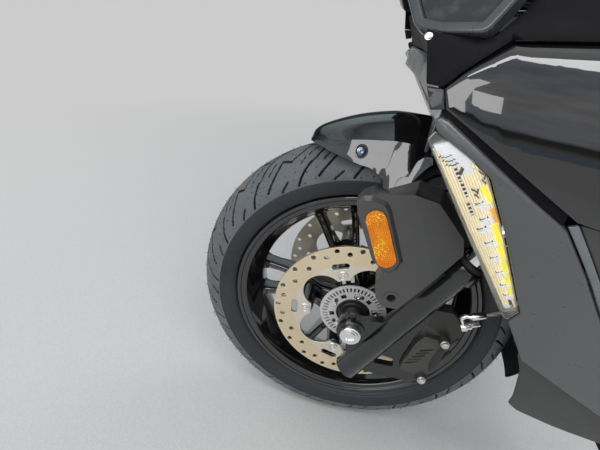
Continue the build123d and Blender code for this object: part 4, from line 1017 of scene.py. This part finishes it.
def lampWide(along):
    return float(np.interp(along, *zip(*lamp["wide"])))


def lampWall(along):
    return float(np.interp(along, *zip(*lamp["wall"])))


# a small raised block, its long side down the lamp
def lampBlock(shape, along, across, length, width, low, high, mat, lean=0.0, taper=0.0):
    c, s = math.cos(math.radians(lean)), math.sin(math.radians(lean))
    points = []
    for depth, shrink in ((low, 0.0), (high, taper)):
        for a, b in ((-1, -1), (1, -1), (1, 1), (-1, 1)):
            u, v = a * (length / 2 - shrink), b * (width / 2 - shrink)
            points.append(lampPoint(along + u * c - v * s, across + u * s + v * c, depth))
    addTo(shape, points, boxFaces, mat)


def addLampShell(shape):
    loop = roundOutline(lamp["corners"], lamp["radius"])
    count = len(loop)
    points = []
    for inward, depth in lamp["shell"]:
        ring = insetLoop(loop, [inward] * count)
        points += [(p.x, skinY(p.x, p.y, lamp["inset"] + depth), p.y) for p in ring]
    verts, triangles = fillLoop(ring, 12.0)
    start = len(points) - count
    points += [(x, skinY(x, z, lamp["shellFloor"]), z) for x, z in verts[count:]]
    floor = [tuple(start + i for i in reversed(face)) for face in triangles]
    addTo(shape, points, loopFaces(len(lamp["shell"]), count, True) + floor, grey)


# ribbed reflector, its lines run down the lamp; a grey side wall along the front edge
def addReflector(shape):
    alongs, count = np.linspace(6.0, 208.0, 102), 94
    acrosses = [lamp["ribStart"] + lamp["ribStep"] * k for k in range(count)]
    points, faces, mats = [], [], []
    for along in alongs:
        wide, wall = lampWide(along) - 1.6, lampWall(along)
        for across in acrosses:
            across = min(across, wide)
            rib = 8.6 + 0.5 * math.cos(2 * math.pi * across / lamp["ribPitch"])
            points.append(lampPoint(along, across, 4.4 + 4.4 * across / wall if across < wall else rib))
    for i in range(len(alongs) - 1):
        reach = max(lampWide(alongs[i]), lampWide(alongs[i + 1])) - 1.6
        for k in range(count - 1):
            if acrosses[k] < reach:
                first = i * count + k
                faces.append((first, first + 1, first + count + 1, first + count))
                inWall = acrosses[k] < lampWall(alongs[i]) or alongs[i] < 9
                mats.append(grey if inWall else lines if k % 6 in (0, 1, 5) else cream)
    used = sorted({i for face in faces for i in face})
    order = {old: new for new, old in enumerate(used)}
    addTo(shape, [points[i] for i in used], [tuple(order[i] for i in face) for face in faces], mats)


def makeLampInside():
    shape = newShape()
    addLampShell(shape)
    addReflector(shape)
    # yellow bar and amber windows near the rear edge
    for k in range(45):
        along = 93.0 + 2.0 * k
        lampBlock(shape, along, lampWide(along) - 5.0, 2.05, 3.6, 8.4, 6.2, yellow)
    for along, across, mat in ((58.0, 26.5, yellow), (66.0, 27.5, yellow), (80.0, 27.0, amber), (87.0, 26.6, amber)):
        lampBlock(shape, along, across, 7.0, 3.6, 8.4, 6.4, mat)
    # stepped silver modules: thin fins across, of uneven length
    for along, across, size in lamp["modules"]:
        for j, share in enumerate(lamp["fins"]):
            place, high = (along + (j - 2) * 2.5, across + (1 - share) * size * 0.35), 5.2 + 0.5 * abs(j - 2)
            lampBlock(shape, *place, 1.5, size * share, 8.2, high, silver, random.uniform(-7, 7), 0.25)
        lampBlock(shape, along + 1.0, across + size * 0.1, 9.0, 1.3, 8.2, 4.9, silver, 12)
        lampBlock(shape, along - 2.6, across - size * 0.1, 0.4, size * 0.6, 8.2, 5.0, dark, 6)
    for along, across in lamp["frames"]:
        lampBlock(shape, along, across, 12.5, 2.6, 8.2, 6.6, dark, 0.0, 0.3)
        for j in (-1, 0, 1):
            lampBlock(shape, along + j * 4.0, across, 1.2, 3.2, 7.0, 6.0, silver)
    for along, across, lean in lamp["wires"]:
        lampBlock(shape, along, across, 4.6, 0.8, 8.2, 6.0, dark, lean)
    # bright bowl at the top with curved dark lines
    for j in range(9):
        along, high = 9.0 + 2.6 * j, 4.4 + 0.35 * abs(j - 4)
        lampBlock(shape, along, 6.5 + 0.42 * along, 2.9, 12.5 + 0.25 * along, 8.2, high, silver, -8, 0.3)
    for j in range(3):
        for m in range(5):
            along = 17.0 + 4.2 * j + 2.2 * math.sin(m * 0.6)
            lampBlock(shape, along, 4.5 + 2.0 * m + 1.2 * j, 0.5, 2.2, 6.0, 4.0, dark, 30 - 16 * m)
    lampBlock(shape, 36.0, 20.0, 9.0, 9.0, 8.4, 4.8, silver, 35, 1.2)
    lampBlock(shape, 35.0, 15.5, 6.0, 2.0, 8.4, 4.4, dark, -40)
    # lower end
    lampBlock(shape, 204.5, 9.0, 1.6, 13.0, 8.4, 4.2, grey)
    lampBlock(shape, 199.0, 9.5, 5.5, 9.0, 8.2, 5.6, silver, 0.0, 0.8)
    for j in range(6):
        lampBlock(shape, 190.5 + 1.9 * j, 12.6, 0.7, 3.0, 6.6, 5.2, dark, 20)
    return shape


shape = makeLampInside()
lens = skinPanel(lamp["corners"], lambda x, z: skinY(x, z, lamp["inset"]), lamp["radius"], 2.6, 3.2, 10.0)
for side, inside, cover in (("left", shape, lens), ("right", mirrorShape(shape), mirrorShape(lens))):
    makePiece("lampInside_" + side, inside, "frame", lampMats)
    makePiece("lampLens_" + side, cover, "frame", ["clearLens"], ["running_lamp_" + side], sharp=50)
print("apron done")

# floor, light and camera
stage = {
    "tone": 0.6,    # what the camera sees behind the object
    "floorHalf": 40.0, "floorDrop": 0.0003, "fadeFrom": 0.9, "fadeTo": 2.4,
    # name, place, target, width, height, power, shown as a soft box in polished surfaces
    "lamps": (("key", (-0.2, -1.55, 2.6), (-0.2, -0.25, 0.25), 2.6, 0.7, 36.0, True),
              ("left", (-1.98, -2.6, 1.55), (-0.5, -0.1, 0.15), 2.4, 1.5, 38.0, True),
              ("skirt", (-0.66, -2.6, 1.27), (-0.45, -0.1, 0.15), 0.28, 0.42, 1.3, True),
              ("front", (-2.6, 0.8, 0.9), (-0.4, 0.0, 0.0), 1.4, 1.4, 16.0, False),
              ("back", (1.6, 1.9, 1.8), (-0.2, 0.0, 0.1), 1.6, 1.2, 22.0, False),
              ("side", (0.8, -2.6, 1.3), (-0.2, -0.2, 0.1), 1.6, 0.8, 14.0, False)),
    # what gloss and metal mirror, from straight down to straight up: on the near side a low dark band
    # under a bright sky, on the far side a taller grey-green one
    "near": ((0.0, (0.6, 0.6, 0.6)), (0.53, (0.3, 0.36, 0.42)), (0.542, (0.3, 0.27, 0.16)), (0.555, (0.1, 0.1, 0.08)),
             (0.578, (0.08, 0.085, 0.08)), (0.592, (0.8, 0.84, 0.92)), (0.75, (1.0, 1.0, 1.0)),
             (0.86, (0.7, 0.78, 0.9)), (1.0, (1.0, 1.0, 1.0))),
    "far": ((0.0, (0.6, 0.6, 0.6)), (0.53, (0.12, 0.14, 0.16)), (0.548, (0.07, 0.08, 0.08)), (0.68, (0.06, 0.08, 0.09)),
            (0.72, (0.6, 0.74, 0.74)), (0.83, (0.75, 0.9, 0.9)), (0.88, (0.2, 0.24, 0.26)), (0.93, (0.5, 0.56, 0.6)),
            (1.0, (1.0, 1.0, 1.0))),
    # the plain light that everything else gets from around
    "dome": ((0.0, (0.2, 0.2, 0.2)), (1.0, (0.9, 0.95, 1.0))), "domeStrength": 0.45,
}


def rayIs(tree, *kinds):
    path = addNode(tree, "LightPath").outputs
    total = path["Is " + kinds[0] + " Ray"]
    for kind in kinds[1:]:
        total = calc(tree, "MAXIMUM", total, path["Is " + kind + " Ray"])
    return total


def ramp(tree, factor, marks):
    made = addNode(tree, "ValToRGB", {"Fac": factor})
    band = made.color_ramp.elements
    band[0].color, band[1].color = (*marks[0][1], 1.0), (*marks[-1][1], 1.0)
    for share, tone in marks[1:-1]:
        band.new(share).color = (*tone, 1.0)
    return made.outputs["Color"]


# the lit floor keeps the shadow and fades with distance into the backdrop's tone
def makeFloor():
    mat, tree, shader, place = startMaterial("floorPale")
    tone = stage["tone"]
    fine = noise(tree, place, 420.0, 4.0, 0.75)
    base = mixColor(tree, remap(tree, fine, 0.4, 0.62), [tone * 0.92] * 3, [tone * 1.06] * 3)
    feed(tree, shader, {"Base Color": base, "Roughness": 0.85, "Specular IOR Level": 0.2,
                        "Normal": bump(tree, fine, 0.15, 0.0006)})
    away = addNode(tree, "VectorMath", {0: place}, operation="LENGTH").outputs["Value"]
    seen = rayIs(tree, "Camera", "Glossy", "Transmission")
    fade = calc(tree, "MULTIPLY", remap(tree, away, stage["fadeFrom"], stage["fadeTo"]), seen)
    flat = addNode(tree, "Emission", {"Color": (tone, tone, tone, 1.0), "Strength": 1.0}).outputs[0]
    mixed = addNode(tree, "MixShader", {0: fade, 1: shader.outputs[0], 2: flat}).outputs[0]
    tree.links.new(mixed, tree.nodes["Material Output"].inputs["Surface"])
    mesh = bpy.data.meshes.new("floor")
    half, low = stage["floorHalf"], tyreLow.z - stage["floorDrop"]
    corners = [(-half, -half, low), (half, -half, low), (half, half, low), (-half, half, low)]
    mesh.from_pydata(corners, [], [(0, 1, 2, 3)])
    mesh.materials.append(mat)
    obj = bpy.data.objects.new("floor", mesh)
    bpy.context.scene.collection.objects.link(obj)


def makeWorld():
    world = bpy.data.worlds.new("studio")
    bpy.context.scene.world = world
    world.use_nodes = True
    tree = world.node_tree
    tree.nodes.clear()
    place = addNode(tree, "TexCoord").outputs["Generated"]
    split = addNode(tree, "SeparateXYZ", {"Vector": place}).outputs
    height = calc(tree, "ADD", split["Z"], remap(tree, noise(tree, place, 2.6, 4.0), 0.3, 0.7, -0.02, 0.02))
    near, far = [ramp(tree, remap(tree, height, -1.0, 1.0), stage[side]) for side in ("near", "far")]
    wide = addNode(tree, "Mapping", {"Vector": place, "Scale": (1.0, 1.0, 3.0)}).outputs["Vector"]
    clouds = remap(tree, noise(tree, wide, 5.0, 6.0, 0.6), 0.35, 0.65, 0.75, 1.0)
    sky = mixColor(tree, remap(tree, split["Y"], -0.1, 0.3), near, far)
    mirrored = {"Color": sky, "Strength": remap(tree, height, 0.07, 0.1, 1.0, clouds)}
    around = {"Color": ramp(tree, remap(tree, height, -0.3, 1.0), stage["dome"]), "Strength": stage["domeStrength"]}
    # past the floor the view itself stays plain and pale
    plain = {"Color": (*[stage["tone"]] * 3, 1.0), "Strength": 1.0}
    mirrored, around, plain = [addNode(tree, "Background", values).outputs[0] for values in (mirrored, around, plain)]
    lit = addNode(tree, "MixShader", {0: rayIs(tree, "Glossy"), 1: around, 2: mirrored}).outputs[0]
    mixed = addNode(tree, "MixShader", {0: rayIs(tree, "Camera", "Transmission"), 1: lit, 2: plain}).outputs[0]
    addNode(tree, "OutputWorld", {"Surface": mixed}).is_active_output = True


def addLamp(name, place, target, width, height, power, shown):
    light = bpy.data.lights.new(name, "AREA")
    light.shape = "RECTANGLE"
    light.size, light.size_y = width, height
    light.energy = power
    obj = bpy.data.objects.new(name, light)
    obj.location = place
    obj.rotation_euler = (Vector(target) - Vector(place)).to_track_quat("-Z", "Y").to_euler()
    obj.visible_glossy = shown
    bpy.context.scene.collection.objects.link(obj)


# the photo's camera, solved from the outlines of the wheel; its place is in millimetres from the wheel's centre
view = {"sensor": 36.0, "lens": 25.8, "clip": 0.01, "place": (-57.49, -629.94, 467.24),
        "right": (0.97290, 0.17839, 0.14712), "up": (-0.21591, 0.47305, 0.85417),
        "ahead": (-0.08278, 0.86279, -0.49874)}


def makeCamera():
    data = bpy.data.cameras.new("camera")
    data.sensor_width, data.lens, data.clip_start = view["sensor"], view["lens"], view["clip"]
    camera = bpy.data.objects.new("camera", data)
    turn = Matrix((view["right"], view["up"], -Vector(view["ahead"]))).transposed()
    camera.matrix_world = Matrix.Translation(wheelCentre + Vector(view["place"]) * mm) @ turn.to_4x4()
    bpy.context.scene.collection.objects.link(camera)
    bpy.context.scene.camera = camera
    bpy.context.scene.view_settings.view_transform = "Standard"


makeFloor()
makeWorld()
for values in stage["lamps"]:
    addLamp(*values)
makeCamera()
print("stage done")
